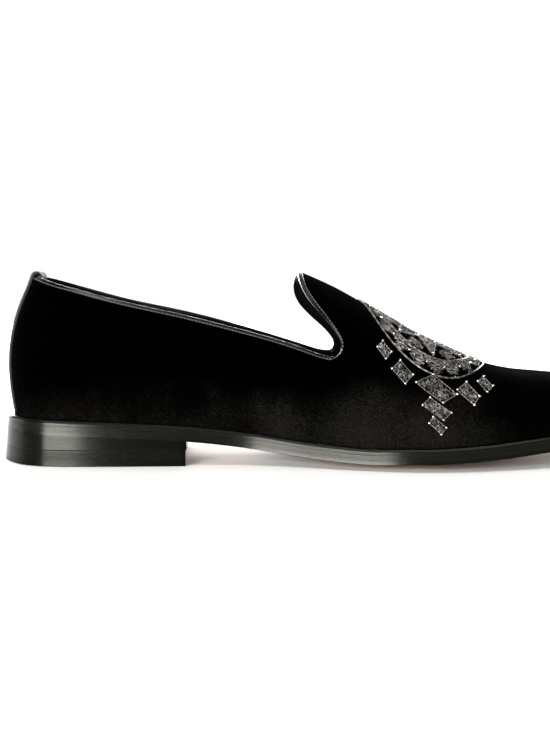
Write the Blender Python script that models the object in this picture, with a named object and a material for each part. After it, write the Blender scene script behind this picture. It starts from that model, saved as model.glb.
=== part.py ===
"""A velvet slipper loafer, the right shoe, in metres. +X is toward the toe, +Z is up and the outer side of
the foot is at -Y. Lengths in the tables are shares of the named sizes below."""

import bmesh
import bpy
import numpy as np

for old in list(bpy.data.objects):
    bpy.data.objects.remove(old, do_unlink=True)

# Sizes that the whole shoe is worked out from.
SOLE_LENGTH = 0.300
BALL_HALF_WIDTH = 0.052
INSTEP_HEIGHT = 0.0837
HEEL_PITCH = 0.0143

# Thicknesses and gaps.
GAP = 0.0003
UPPER_WALL = 0.0020
OUTSOLE_THICK = 0.0039
MIDSOLE_THICK = 0.0023
INSOLE_THICK = 0.0024
TOPLIFT_THICK = 0.0069
PIPING_RADIUS = 0.0009
STRIP_THICK = 0.0009
STRIP_HALF_WIDTH = 0.0055
STRIP_INSIDE_LENGTH = 0.0060
INSOLE_CLEARANCE = 0.0006
HEEL_LENGTH = 0.083
HEEL_INNER_LENGTH = 0.0795
HEEL_BREAST_HOLLOW = 0.002
SOLE_MARGIN = 0.0030
BALL_CAMBER = 0.0031
MESH_MERGE = 1e-7
SMALLEST = 1e-12

# The sole's outline from above: heel back, outer side, toe tip, inner side. Columns: share of sole length
# from the heel's back, share of ball half width with the outer side negative.
OUTLINE = [
    ("heel back", 0.000, 0.000),
    ("outer heel curve", 0.030, -0.420),
    ("outer heel side", 0.100, -0.600),
    ("outer heel breast", 0.260, -0.600),
    ("outer waist", 0.385, -0.620),
    ("outer behind ball", 0.500, -0.840),
    ("outer ball", 0.610, -1.000),
    ("outer before ball", 0.720, -0.940),
    ("outer toe side", 0.860, -0.680),
    ("outer toe curve", 0.960, -0.350),
    ("toe tip", 1.000, 0.110),
    ("inner toe curve", 0.965, 0.540),
    ("inner toe side", 0.880, 0.790),
    ("inner before ball", 0.780, 0.910),
    ("inner ball", 0.700, 0.960),
    ("inner behind ball", 0.580, 0.790),
    ("inner waist", 0.440, 0.520),
    ("inner arch", 0.330, 0.490),
    ("inner heel breast", 0.230, 0.580),
    ("inner heel side", 0.110, 0.610),
    ("inner heel curve", 0.030, 0.420),
]
TOE_ROW = 10

# How far the sole stands out past the foot of the upper. Columns: share along one side, share of the sole
# margin.
MARGIN = [
    (0.00, 1.333),
    (0.06, 1.133),
    (0.14, 0.667),
    (0.35, 0.500),
    (0.60, 0.867),
    (0.85, 0.933),
    (1.00, 1.000),
]

# The sole's underside along the middle. Columns: share of length, height as share of heel pitch, and the
# camber, by which the edges stand higher than the middle, as share of the ball camber. Below zero is cut off
# flat at the floor.
PROFILE = [
    (0.000, 1.000, 0.000),
    (0.060, 0.950, 0.000),
    (0.150, 0.880, 0.000),
    (0.230, 0.800, 0.000),
    (0.280, 0.727, 0.000),
    (0.340, 0.580, 0.074),
    (0.390, 0.425, 0.185),
    (0.445, 0.225, 0.407),
    (0.500, 0.075, 0.667),
    (0.550, -0.010, 0.852),
    (0.590, -0.030, 0.963),
    (0.630, 0.000, 1.000),
    (0.700, 0.095, 0.926),
    (0.780, 0.260, 0.852),
    (0.860, 0.460, 0.667),
    (0.940, 0.695, 0.333),
    (1.000, 0.885, 0.000),
]

# The camber starts this share of the way out from the middle. At the ends it fades out, from this width down.
CAMBER_STARTS = 0.40
END_WIDTH = 0.030

# The lower part of the upper's sections, from the heel's back to the toe. Each runs up from the sole to the
# collar or, ahead of the throat, to the middle of the vamp's side. Columns: share along the side of the sole;
# the top end as share of sole length, of ball half width and of instep height; the way it faces in degrees, 0
# straight across and 90 forward; outward lean at the sole in degrees; rise, the lower arm as a share of the
# chord; tuck, inward lean at the top in degrees; fall, the upper arm as a share of the chord.
OUTER_SIDE = [
    ("back seam", 0.000, 0.0410, 0.000, 0.980, 90, 10, 0.34, 28, 0.44),
    ("heel curve", 0.055, 0.0520, -0.200, 0.968, 62, 10, 0.36, 25, 0.42),
    ("heel side", 0.110, 0.0807, -0.360, 0.935, 32, 10, 0.39, 20, 0.36),
    ("counter", 0.170, 0.1200, -0.450, 0.898, 12, 10, 0.40, 15, 0.33),
    ("rear quarter", 0.238, 0.1830, -0.500, 0.839, 2, 9, 0.40, 12, 0.33),
    ("quarter", 0.310, 0.2670, -0.510, 0.772, 0, 8, 0.40, 12, 0.33),
    ("waist", 0.375, 0.3467, -0.531, 0.700, -6, 6, 0.40, 13, 0.33),
    ("front quarter", 0.430, 0.4167, -0.558, 0.630, -14, 5, 0.38, 15, 0.33),
    ("throat", 0.474, 0.4650, -0.585, 0.570, -24, 4, 0.36, 18, 0.33),
    ("throat low", 0.502, 0.4867, -0.596, 0.548, -32, 4, 0.35, 22, 0.33),
    ("throat front", 0.545, 0.5233, -0.698, 0.514, -26, 4, 0.34, 27, 0.33),
    ("instep side", 0.590, 0.5700, -0.788, 0.472, -19, 4, 0.34, 32, 0.33),
    ("ball side", 0.640, 0.6267, -0.838, 0.425, -11, 5, 0.34, 38, 0.33),
    ("vamp side", 0.692, 0.6867, -0.819, 0.387, -5, 6, 0.34, 43, 0.33),
    ("toe root side", 0.744, 0.7467, -0.742, 0.366, -3, 6, 0.35, 47, 0.33),
    ("toe side", 0.800, 0.8100, -0.612, 0.358, -9, 6, 0.36, 50, 0.33),
    ("toe shoulder", 0.866, 0.8767, -0.431, 0.361, -24, 6, 0.37, 52, 0.33),
    ("toe curve", 0.935, 0.9333, -0.183, 0.368, -52, 6, 0.38, 55, 0.33),
    ("toe middle", 1.000, 0.9617, 0.115, 0.373, -90, 6, 0.38, 56, 0.33),
]
INNER_SIDE = [
    ("back seam", 0.000, 0.0410, 0.000, 0.980, 90, 10, 0.34, 28, 0.44),
    ("heel curve", 0.055, 0.0520, 0.200, 0.968, 62, 10, 0.36, 25, 0.42),
    ("heel side", 0.110, 0.0807, 0.360, 0.934, 32, 10, 0.39, 20, 0.36),
    ("counter", 0.170, 0.1200, 0.446, 0.891, 12, 10, 0.40, 15, 0.33),
    ("rear quarter", 0.240, 0.1830, 0.485, 0.830, 2, 11, 0.40, 12, 0.33),
    ("quarter", 0.312, 0.2670, 0.490, 0.765, 0, 13, 0.40, 11, 0.33),
    ("arch", 0.378, 0.3467, 0.506, 0.689, -6, 15, 0.40, 11, 0.33),
    ("front quarter", 0.434, 0.4167, 0.531, 0.613, -14, 15, 0.38, 12, 0.33),
    ("throat", 0.476, 0.4650, 0.558, 0.556, -24, 14, 0.36, 14, 0.33),
    ("throat low", 0.504, 0.4880, 0.567, 0.538, -32, 13, 0.35, 17, 0.33),
    ("throat front", 0.546, 0.5233, 0.644, 0.521, -26, 11, 0.34, 22, 0.33),
    ("instep side", 0.590, 0.5700, 0.723, 0.495, -19, 8, 0.34, 28, 0.33),
    ("ball side", 0.640, 0.6267, 0.788, 0.452, -11, 6, 0.34, 36, 0.33),
    ("vamp side", 0.692, 0.6867, 0.808, 0.409, -5, 6, 0.34, 43, 0.33),
    ("toe root side", 0.744, 0.7467, 0.777, 0.382, -3, 6, 0.35, 47, 0.33),
    ("toe side", 0.800, 0.8100, 0.708, 0.369, -9, 6, 0.36, 50, 0.33),
    ("toe shoulder", 0.866, 0.8767, 0.558, 0.363, -24, 6, 0.37, 54, 0.33),
    ("toe curve", 0.935, 0.9333, 0.375, 0.368, -52, 6, 0.38, 55, 0.33),
    ("toe middle", 1.000, 0.9617, 0.115, 0.373, -90, 6, 0.38, 56, 0.33),
]
SIDES = (OUTER_SIDE, INNER_SIDE)
THROAT_ROW = 9

# The ridge over the instep from the tongue's tip to the toe, where the upper part of the sections ends.
# Columns: share of sole length, share of ball half width, share of instep height; facing and tuck in degrees;
# the first and the last arm as shares of the chord.
RIDGE = [
    ("tongue tip", 0.4473, 0.048, 1.000, 6, 84, 0.33, 0.33),
    ("high instep", 0.4967, 0.052, 0.920, -17, 80, 0.36, 0.38),
    ("instep", 0.5500, 0.058, 0.812, -13, 83, 0.37, 0.40),
    ("ball", 0.6133, 0.067, 0.681, -9, 85, 0.37, 0.42),
    ("vamp", 0.6767, 0.077, 0.572, -6, 88, 0.36, 0.42),
    ("toe root", 0.7400, 0.087, 0.485, -4, 89, 0.33, 0.40),
    ("toe", 0.7933, 0.096, 0.453, -10, 89, 0.33, 0.40),
    ("toe shoulder", 0.8333, 0.104, 0.442, -27, 88, 0.33, 0.42),
    ("toe curve", 0.8600, 0.112, 0.435, -56, 86, 0.33, 0.43),
    ("toe middle", 0.8767, 0.115, 0.428, -90, 83, 0.33, 0.44),
]

# The tongue's edge from the throat up to its tip. Columns: share of sole length, share of ball half width,
# share of instep height.
OUTER_TONGUE_EDGE = [
    (0.4867, -0.596, 0.548),
    (0.5010, -0.588, 0.573),
    (0.5063, -0.558, 0.624),
    (0.5013, -0.538, 0.674),
    (0.4900, -0.496, 0.735),
    (0.4767, -0.435, 0.797),
    (0.4633, -0.346, 0.859),
    (0.4537, -0.238, 0.916),
    (0.4490, -0.123, 0.964),
    (0.4473, 0.048, 1.000),
]
INNER_TONGUE_EDGE = [
    (0.4880, 0.567, 0.538),
    (0.5007, 0.563, 0.559),
    (0.5040, 0.546, 0.600),
    (0.4977, 0.531, 0.648),
    (0.4853, 0.508, 0.697),
    (0.4713, 0.477, 0.746),
    (0.4580, 0.438, 0.795),
    (0.4477, 0.388, 0.842),
    (0.4420, 0.323, 0.891),
    (0.4407, 0.246, 0.937),
    (0.4430, 0.158, 0.975),
    (0.4473, 0.048, 1.000),
]
TONGUE_EDGES = (OUTER_TONGUE_EDGE, INNER_TONGUE_EDGE)

# At the throat the vamp's sections leave the side turned forward by this many degrees, and over this many
# rows of the side tables the turn dies out. Over the last number of rows the vamp is drawn onto the edge.
THROAT_TURN = 62.0
THROAT_TURN_ROWS = 1.6
EDGE_REACH_ROWS = 2.2

# How finely the meshes are cut. Rows on the vamp stand closer together low down, by a power.
COLUMNS_PER_SECTION = 3
LOWER_ROWS = 6
UPPER_ROWS = 11
ROW_BUNCHING = 1.15
SOLE_COLUMNS = 36
ACROSS = np.array([-1.0, -0.7, -CAMBER_STARTS, 0.0, CAMBER_STARTS, 0.7, 1.0])
PIPING_SIDES = 8


def second_slopes(knots, values, closed=False):
    """Second slopes at the knots of the cubic curve through them: natural ends, or joined up when closed."""
    count = len(knots)
    step = np.diff(knots)
    slope = np.diff(values, axis=0) / step.reshape((-1,) + (1,) * (values.ndim - 1))
    system = np.eye(count)
    right = np.zeros_like(values)
    for row in range(1, count - 1):
        system[row, row - 1 : row + 2] = step[row - 1], 2 * (step[row - 1] + step[row]), step[row]
        right[row] = 6 * (slope[row] - slope[row - 1])
    if closed:
        system[0, [0, 1, -2]] = 2 * (step[0] + step[-1]), step[0], step[-1]
        right[0] = 6 * (slope[0] - slope[-1])
        system[-1, [0, -1]] = -1.0, 1.0
    return np.linalg.solve(system, right)


def curve(knots, values, at, closed=False):
    """The smooth cubic curve through the values at the knots, read at the places asked for."""
    knots = np.asarray(knots, float)
    values = np.asarray(values, float)
    bend = second_slopes(knots, values, closed)
    place = np.clip(np.searchsorted(knots, at, side="right") - 1, 0, len(knots) - 2)
    step = knots[place + 1] - knots[place]
    before = (knots[place + 1] - at) / step
    after = 1.0 - before
    shape = (-1,) + (1,) * (values.ndim - 1)
    before, after, step = (part.reshape(shape) for part in (before, after, step))
    straight = before * values[place] + after * values[place + 1]
    bent = (before**3 - before) * bend[place] + (after**3 - after) * bend[place + 1]
    return straight + bent * step**2 / 6


def side_outline(side):
    """One side of the sole's outline from heel to toe, finely: places, outward ways and shares along it."""
    rows = np.array([row[1:] for row in OUTLINE + OUTLINE[:1]])
    rows = rows * [SOLE_LENGTH, BALL_HALF_WIDTH]
    last = len(OUTLINE)
    reach = np.linspace(0 if side < 0 else last, TOE_ROW, 400)
    points = curve(np.arange(last + 1), rows, reach, closed=True)
    step = 0.001
    ahead = curve(np.arange(last + 1), rows, (reach + step) % last, closed=True)
    behind = curve(np.arange(last + 1), rows, (reach - step) % last, closed=True)
    slope = ahead - behind
    outward = np.stack([slope[:, 1], -slope[:, 0]], axis=1)
    outward /= np.linalg.norm(outward, axis=1)[:, None]
    along = np.concatenate([[0.0], np.cumsum(np.linalg.norm(np.diff(points, axis=0), axis=1))])
    return points, outward, along / along[-1]


def edge_points(side, shares, inset=0.0):
    """Points at the shares along one side, moved in by the inset, and their outward ways."""
    points, outward, along = side_outline(side)
    place = np.column_stack([np.interp(shares, along, points[:, k]) for k in (0, 1)])
    normal = np.column_stack([np.interp(shares, along, outward[:, k]) for k in (0, 1)])
    normal /= np.linalg.norm(normal, axis=1)[:, None]
    return place - normal * np.reshape(inset, (-1, 1)), normal


def margin(shares):
    table = np.array(MARGIN)
    return SOLE_MARGIN * curve(table[:, 0], table[:, 1], shares)


def underside(x, across):
    """Height of the sole's underside at a place along it and a share across it, -1 to 1."""
    table = np.array(PROFILE)
    share = np.clip(x / SOLE_LENGTH, 0.0, 1.0)
    shape = share.shape
    height = curve(table[:, 0], table[:, 1] * HEEL_PITCH, share.ravel()).reshape(shape)
    camber = curve(table[:, 0], table[:, 2] * BALL_CAMBER, share.ravel()).reshape(shape)
    out = np.clip((np.abs(across) - CAMBER_STARTS) / (1 - CAMBER_STARTS), 0.0, 1.0)
    return np.maximum(height, 0.0) + np.maximum(camber, 0.0) * out**1.5


def plan(shares, inset_outer, inset_inner):
    """A grid of (x, y) across the sole between its two sides, one column of points for each share."""
    outer, _ = edge_points(-1, shares, inset_outer)
    inner, _ = edge_points(1, shares, inset_inner)
    blend = (ACROSS[None, :, None] + 1) / 2
    return outer[:, None, :] * (1 - blend) + inner[:, None, :] * blend


def sole_grid(xy, lift):
    """The plan grid at a height above the sole's underside. The camber fades out where the ends close up."""
    opening = np.linalg.norm(xy[:, -1] - xy[:, 0], axis=1)
    across = ACROSS[None] * np.minimum(opening / END_WIDTH, 1.0)[:, None]
    return np.concatenate([xy, (underside(xy[..., 0], across) + lift)[..., None]], axis=2)


def material(name, colour, roughness):
    made = bpy.data.materials.new(name)
    made.use_nodes = True
    shader = made.node_tree.nodes["Principled BSDF"]
    shader.inputs["Base Color"].default_value = (*colour, 1.0)
    shader.inputs["Roughness"].default_value = roughness
    shader.inputs["Metallic"].default_value = 0.0
    return made


def add_solid(name, points, faces, colour, roughness):
    """Joins points that share a place, turns the faces outward and adds the piece, centred on the origin."""
    centre = np.array([SOLE_LENGTH / 2, ACROSS_MIDDLE, 0.0])
    mesh = bpy.data.meshes.new(name)
    mesh.from_pydata((points - centre).tolist(), [], faces)
    shape = bmesh.new()
    shape.from_mesh(mesh)
    bmesh.ops.remove_doubles(shape, verts=shape.verts, dist=MESH_MERGE)
    bmesh.ops.triangulate(shape, faces=shape.faces)
    bmesh.ops.recalc_face_normals(shape, faces=shape.faces)
    for face in shape.faces:
        face.smooth = True
    shape.to_mesh(mesh)
    shape.free()
    mesh.materials.append(material(name, colour, roughness))
    piece = bpy.data.objects.new(name, mesh)
    bpy.context.collection.objects.link(piece)
    return piece


def grid_faces(columns, rows, start=0):
    """Four-cornered faces of a grid of points numbered column by column."""
    number = start + np.arange(columns * rows).reshape(columns, rows)
    corners = number[:-1, :-1], number[1:, :-1], number[1:, 1:], number[:-1, 1:]
    return np.stack([corner.ravel() for corner in corners], axis=1).tolist()


def wall_faces(columns, rows, second):
    """Faces that join the rim of one grid to the rim of another of the same size."""
    number = np.arange(columns * rows).reshape(columns, rows)
    rim = np.concatenate([number[:, 0], number[-1, 1:], number[-2::-1, -1], number[0, -2:0:-1]])
    after = np.roll(rim, -1)
    return np.stack([rim, after, after + second, rim + second], axis=1).tolist()


def slab(name, upper_grid, lower_grid, colour, roughness):
    """A closed plate between two grids."""
    columns, rows = upper_grid.shape[:2]
    points = np.concatenate([upper_grid.reshape(-1, 3), lower_grid.reshape(-1, 3)])
    half = columns * rows
    faces = grid_faces(columns, rows) + grid_faces(columns, rows, half) + wall_faces(columns, rows, half)
    return add_solid(name, points, faces, colour, roughness)


def direction(side, facing, tuck):
    """Unit ways that lean inward from upright by the tuck, toward the way faced."""
    facing, tuck = np.radians(facing)[:, None], np.radians(tuck)[:, None]
    across = np.concatenate([np.sin(facing), -side * np.cos(facing), 0 * facing], axis=1)
    return np.sin(tuck) * across + np.cos(tuck) * np.array([[0.0, 0.0, 1.0]])


def arc(ends, t):
    """Cubic arcs between their four control points, one column each, read at the shares t along them."""
    first, second, third, last = (part[:, None] for part in ends)
    t = t[None, :, None] if t.ndim == 1 else t[:, :, None]
    return first * (1 - t) ** 3 + 3 * second * t * (1 - t) ** 2 + 3 * third * t**2 * (1 - t) + last * t**3


def side_arcs(side, places):
    """Control points of the lower part of the sections at places between the rows of the side's table."""
    rows = np.array([row[1:] for row in SIDES[side > 0]], float)
    share, *top, facing, lean, rise, tuck, fall = curve(np.arange(len(rows)), rows, places).T
    share = np.clip(share, 0.0, 1.0)
    foot, outward = edge_points(side, share, margin(share))
    foot = np.column_stack([foot, underside(foot[:, 0], np.ones(len(foot))) + UPPER_FOOT])
    top = np.column_stack(top) * [SOLE_LENGTH, BALL_HALF_WIDTH, INSTEP_HEIGHT]
    chord = np.linalg.norm(top - foot, axis=1)[:, None]
    outward = np.column_stack([outward, np.zeros(len(foot))]) * np.sin(np.radians(lean))[:, None]
    upright = np.cos(np.radians(lean))[:, None] * np.array([[0.0, 0.0, 1.0]])
    lower_arm = foot + chord * rise[:, None] * (upright + outward)
    arriving = direction(side, facing, tuck)
    return (foot, lower_arm, top - chord * fall[:, None] * arriving, top), arriving


def vamp_arcs(side, places):
    """Control points of the upper part of the sections, from the vamp's side to the ridge. They leave the
    lower part in its own direction, but next to the throat they turn forward along the tongue's edge."""
    (_, _, _, start), leaving = side_arcs(side, places)
    step = 0.05
    (_, _, _, ahead), _ = side_arcs(side, np.minimum(places + step, len(RIDGE) - 1 + THROAT_ROW))
    (_, _, _, behind), _ = side_arcs(side, places - step)
    forward = ahead - behind
    forward /= np.linalg.norm(forward, axis=1)[:, None]
    beyond = places - THROAT_ROW
    turn = np.radians(THROAT_TURN) * np.clip(1 - beyond / THROAT_TURN_ROWS, 0.0, 1.0)[:, None] ** 2
    leaving = np.cos(turn) * leaving + np.sin(turn) * forward
    rows = np.array([row[1:] for row in RIDGE], float)
    *end, facing, tuck, first_arm, last_arm = curve(np.arange(len(rows)), rows, beyond).T
    end = np.column_stack(end) * [SOLE_LENGTH, BALL_HALF_WIDTH, INSTEP_HEIGHT]
    chord = np.linalg.norm(end - start, axis=1)[:, None]
    last = end - chord * last_arm[:, None] * direction(side, facing, tuck)
    return start, start + chord * first_arm[:, None] * leaving, last, end


def tongue_edge(side, climb):
    """The tongue's edge at shares of its length from the throat to the tip."""
    rows = np.array(TONGUE_EDGES[side > 0]) * [SOLE_LENGTH, BALL_HALF_WIDTH, INSTEP_HEIGHT]
    along = np.concatenate([[0.0], np.cumsum(np.linalg.norm(np.diff(rows, axis=0), axis=1))])
    return curve(along / along[-1], rows, climb)


def lower_surface(side, places, climb):
    """The outside of the quarters and of the vamp's side: a column for each place, a row for each climb."""
    return arc(side_arcs(side, places)[0], climb)


def vamp_surface(side, places, climb):
    """The outside of the vamp and tongue above its side, drawn onto the tongue's edge near the throat."""
    drawn = arc(vamp_arcs(side, places), climb)
    first = arc(vamp_arcs(side, np.array([float(THROAT_ROW)])), climb)
    off = tongue_edge(side, climb)[None] - first
    near = np.clip(1 - (places - THROAT_ROW) / EDGE_REACH_ROWS, 0.0, 1.0)
    return drawn + off * (near**2 * (3 - 2 * near))[:, None, None]


def normals_of(surface, side, places, climb, lowest):
    """Outward normals of a surface, from small steps each way along it."""
    step = 0.02
    behind, ahead = np.clip(places - step, lowest, None), np.clip(places + step, None, len(OUTER_SIDE) - 1)
    along = surface(side, ahead, climb) - surface(side, behind, climb)
    below, above = np.clip(climb - step, 0, None), np.clip(climb + step, None, 1)
    rising = surface(side, places, above) - surface(side, places, below)
    normal = np.cross(along, rising) * (-side)
    return normal / np.maximum(np.linalg.norm(normal, axis=2), SMALLEST)[:, :, None]


UPPER_FOOT = OUTSOLE_THICK + MIDSOLE_THICK + 2 * GAP
OUTER_EXTREME = side_outline(-1)[0][:, 1].min()
INNER_EXTREME = side_outline(1)[0][:, 1].max()
ACROSS_MIDDLE = (OUTER_EXTREME + INNER_EXTREME) / 2

# The upper: the outside of both sides, the inside one wall in, and rims that close the top and the foot.
toe_row = len(OUTER_SIDE) - 1
places = np.linspace(0, toe_row, toe_row * COLUMNS_PER_SECTION + 1)
throat = THROAT_ROW * COLUMNS_PER_SECTION
lower_climb = np.linspace(0, 1, LOWER_ROWS + 1)
vamp_climb = np.linspace(0, 1, UPPER_ROWS + 1) ** ROW_BUNCHING
lower, vamp, lower_normal, vamp_normal = [], [], [], []
for side in (-1, 1):
    lower.append(lower_surface(side, places, lower_climb))
    lower_normal.append(normals_of(lower_surface, side, places, lower_climb, 0.0))
    vamp.append(vamp_surface(side, places[throat:], vamp_climb))
    vamp_normal.append(normals_of(vamp_surface, side, places[throat:], vamp_climb, float(THROAT_ROW)))
for k in (0, 1):
    seam = lower_normal[k][throat:, -1] + vamp_normal[k][:, 0]
    seam[0] = lower_normal[k][throat, -1]
    lower_normal[k][throat:, -1] = vamp_normal[k][:, 0] = seam
ridge = vamp_normal[0][:, -1] + vamp_normal[1][:, -1]
ridge[-1] = ridge[-2]
for k in (0, 1):
    vamp_normal[k][:, -1] = ridge
for grids, column in ((lower_normal, 0), (lower_normal, -1), (vamp_normal, -1)):
    shared = grids[0][column] + grids[1][column]
    grids[0][column], grids[1][column] = shared, shared
lower_in, vamp_in = [], []
for k in (0, 1):
    for grid, normal, kept in ((lower[k], lower_normal[k], lower_in), (vamp[k], vamp_normal[k], vamp_in)):
        kept.append(grid - UPPER_WALL * normal / np.linalg.norm(normal, axis=2)[:, :, None])
    lower_in[k][:, 0, 2] = underside(lower_in[k][:, 0, 0], np.ones(len(places))) + UPPER_FOOT
    vamp_in[k][:, 0] = lower_in[k][throat:, -1]
sheets = [*lower, *vamp, *lower_in, *vamp_in]
points = np.concatenate([grid.reshape(-1, 3) for grid in sheets])
starts = np.concatenate([[0], np.cumsum([grid.shape[0] * grid.shape[1] for grid in sheets])])
faces = []
for grid, start in zip(sheets, starts):
    faces += grid_faces(*grid.shape[:2], int(start))
for k in range(4):
    number = np.arange(starts[k], starts[k + 1]).reshape(sheets[k].shape[:2])
    lines = [number[:, 0], number[: throat + 1, -1]] if k < 2 else [number[0]]
    across = starts[k + 4] - starts[k]
    for line in lines:
        faces += np.stack([line[:-1], line[1:], line[1:] + across, line[:-1] + across], axis=1).tolist()
add_solid("upper", points, faces, (0.012, 0.011, 0.010), 0.9)

# The piping: a cord along the collar and the tongue's edge, one closed loop, over the middle of the wall.
edges = []
for k in (0, 1):
    edges.append(np.concatenate([lower[k][:throat, -1], vamp[k][0]]))
    edges.append(np.concatenate([lower_in[k][:throat, -1], vamp_in[k][0]]))
edge = np.concatenate([edges[0], edges[2][1:-1][::-1]])
edge_inside = np.concatenate([edges[1], edges[3][1:-1][::-1]])
middle = (edge + edge_inside) / 2
forward = np.roll(middle, -1, axis=0) - np.roll(middle, 1, axis=0)
forward /= np.linalg.norm(forward, axis=1)[:, None]
through = edge - edge_inside
through /= np.linalg.norm(through, axis=1)[:, None]
away = np.cross(through, forward)
away /= np.linalg.norm(away, axis=1)[:, None]
cord = middle + away * (PIPING_RADIUS + GAP)
cord = (np.roll(cord, 1, axis=0) + 6 * cord + np.roll(cord, -1, axis=0)) / 8
turn = np.arange(PIPING_SIDES) / PIPING_SIDES * 2 * np.pi
ring_out = through[:, None] * np.cos(turn)[None, :, None] + away[:, None] * np.sin(turn)[None, :, None]
tube = cord[:, None] + ring_out * PIPING_RADIUS
number = np.arange(len(cord) * PIPING_SIDES).reshape(len(cord), PIPING_SIDES)
ahead, round_next = np.roll(number, -1, axis=0), np.roll(number, -1, axis=1)
corners = number, ahead, np.roll(ahead, -1, axis=1), round_next
faces = np.stack([corner.ravel() for corner in corners], axis=1).tolist()
add_solid("topline_piping", tube.reshape(-1, 3), faces, (0.020, 0.019, 0.018), 0.35)

# The strip over the back seam: up the outside, over the piping and a little way down the inside.
strip_across = np.linspace(-1, 1, 5) * STRIP_HALF_WIDTH
near_back = np.linspace(0, 1.5, 40)
strip_climb = np.linspace(0.02, 0.98, 11)
climb_rows = []
for row in range(len(strip_climb)):
    halves = []
    for side in (-1, 1):
        near_points = lower_surface(side, near_back, strip_climb)[:, row]
        near_normals = normals_of(lower_surface, side, near_back, strip_climb, 0.0)[:, row]
        near_fields = np.column_stack([near_points, near_normals]).T
        reach = side * near_points[:, 1]
        read = [np.interp(np.abs(strip_across), reach, field) for field in near_fields]
        halves.append(np.column_stack(read))
    fields = np.where(strip_across[:, None] > 0, halves[1], halves[0])
    place, out = fields[:, :3], fields[:, 3:]
    place[:, 1] = strip_across
    out[strip_across == 0, 1] = 0.0
    climb_rows.append((place, out / np.linalg.norm(out, axis=1)[:, None]))
strip_under = [place + out * GAP for place, out in climb_rows]
strip_over = [place + out * (GAP + STRIP_THICK) for place, out in climb_rows]
half_loop = cord[: 2 * COLUMNS_PER_SECTION]
over_cord = [np.interp(np.abs(strip_across), -half_loop[:, 1], half_loop[:, k]) for k in range(3)]
over_cord = np.column_stack(over_cord)
over_cord[:, 1] = strip_across
back_out = climb_rows[-1][1]
back_up = climb_rows[-1][0] - climb_rows[-2][0]
back_up /= np.linalg.norm(back_up, axis=1)[:, None]
for angle in np.radians([15, 50, 90, 130, 165]):
    lean_way = back_out * np.cos(angle) + back_up * np.sin(angle)
    strip_under.append(over_cord + lean_way * (PIPING_RADIUS + GAP))
    strip_over.append(over_cord + lean_way * (PIPING_RADIUS + GAP + STRIP_THICK))
inside_reach = max(PIPING_RADIUS, UPPER_WALL / 2) + 2 * GAP
for drop in (0.4, 1.0):
    down = -back_up * STRIP_INSIDE_LENGTH * drop
    strip_under.append(over_cord - back_out * inside_reach + down)
    strip_over.append(over_cord - back_out * (inside_reach + STRIP_THICK) + down)
slab("back_strip", np.stack(strip_over), np.stack(strip_under), (0.022, 0.021, 0.020), 0.4)

# The three flat layers of the sole. Shares bunch up toward the heel and the toe, where the outline turns.
turning = np.linspace(0, np.pi, SOLE_COLUMNS + 1)
shares = (1 - np.cos(turning)) / 2 * 0.6 + turning / np.pi * 0.4
sole_plan = plan(shares, 0.0, 0.0)
insole_inset = margin(shares) + UPPER_WALL + INSOLE_CLEARANCE
under_upper = plan(shares, insole_inset, insole_inset)
midsole_foot = OUTSOLE_THICK + GAP
insole_foot = UPPER_FOOT
slab("outsole", sole_grid(sole_plan, OUTSOLE_THICK), sole_grid(sole_plan, 0.0), (0.42, 0.27, 0.15), 0.55)
slab(
    "midsole",
    sole_grid(sole_plan, midsole_foot + MIDSOLE_THICK),
    sole_grid(sole_plan, midsole_foot),
    (0.020, 0.019, 0.018),
    0.4,
)
slab(
    "insole",
    sole_grid(under_upper, insole_foot + INSOLE_THICK),
    sole_grid(under_upper, insole_foot),
    (0.030, 0.027, 0.024),
    0.6,
)

# The heel: the sole's outline as far as the breast, which is a little hollow.
heel_reach = []
for side, length in ((-1, HEEL_LENGTH), (1, HEEL_INNER_LENGTH)):
    points, _, along = side_outline(side)
    heel_reach.append(np.interp(length, points[:, 0], along))
steps = np.linspace(0, 1, 15) ** 1.3
blend = (ACROSS[None, :, None] + 1) / 2
outer_heel, _ = edge_points(-1, steps * heel_reach[0])
inner_heel, _ = edge_points(1, steps * heel_reach[1])
heel_plan = outer_heel[:, None] * (1 - blend) + inner_heel[:, None] * blend
heel_plan[..., 0] -= HEEL_BREAST_HOLLOW * (steps[:, None] ** 4) * (1 - ACROSS[None, :] ** 2)
heel_top = sole_grid(heel_plan, -GAP)
heel_bottom = heel_top.copy()
heel_bottom[..., 2] = TOPLIFT_THICK + GAP
slab("heel_block", heel_top, heel_bottom, (0.022, 0.021, 0.020), 0.4)
lift_top = heel_top.copy()
lift_top[..., 2] = TOPLIFT_THICK
lift_bottom = heel_top.copy()
lift_bottom[..., 2] = 0.0
slab("heel_toplift", lift_top, lift_bottom, (0.022, 0.021, 0.020), 0.5)
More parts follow.
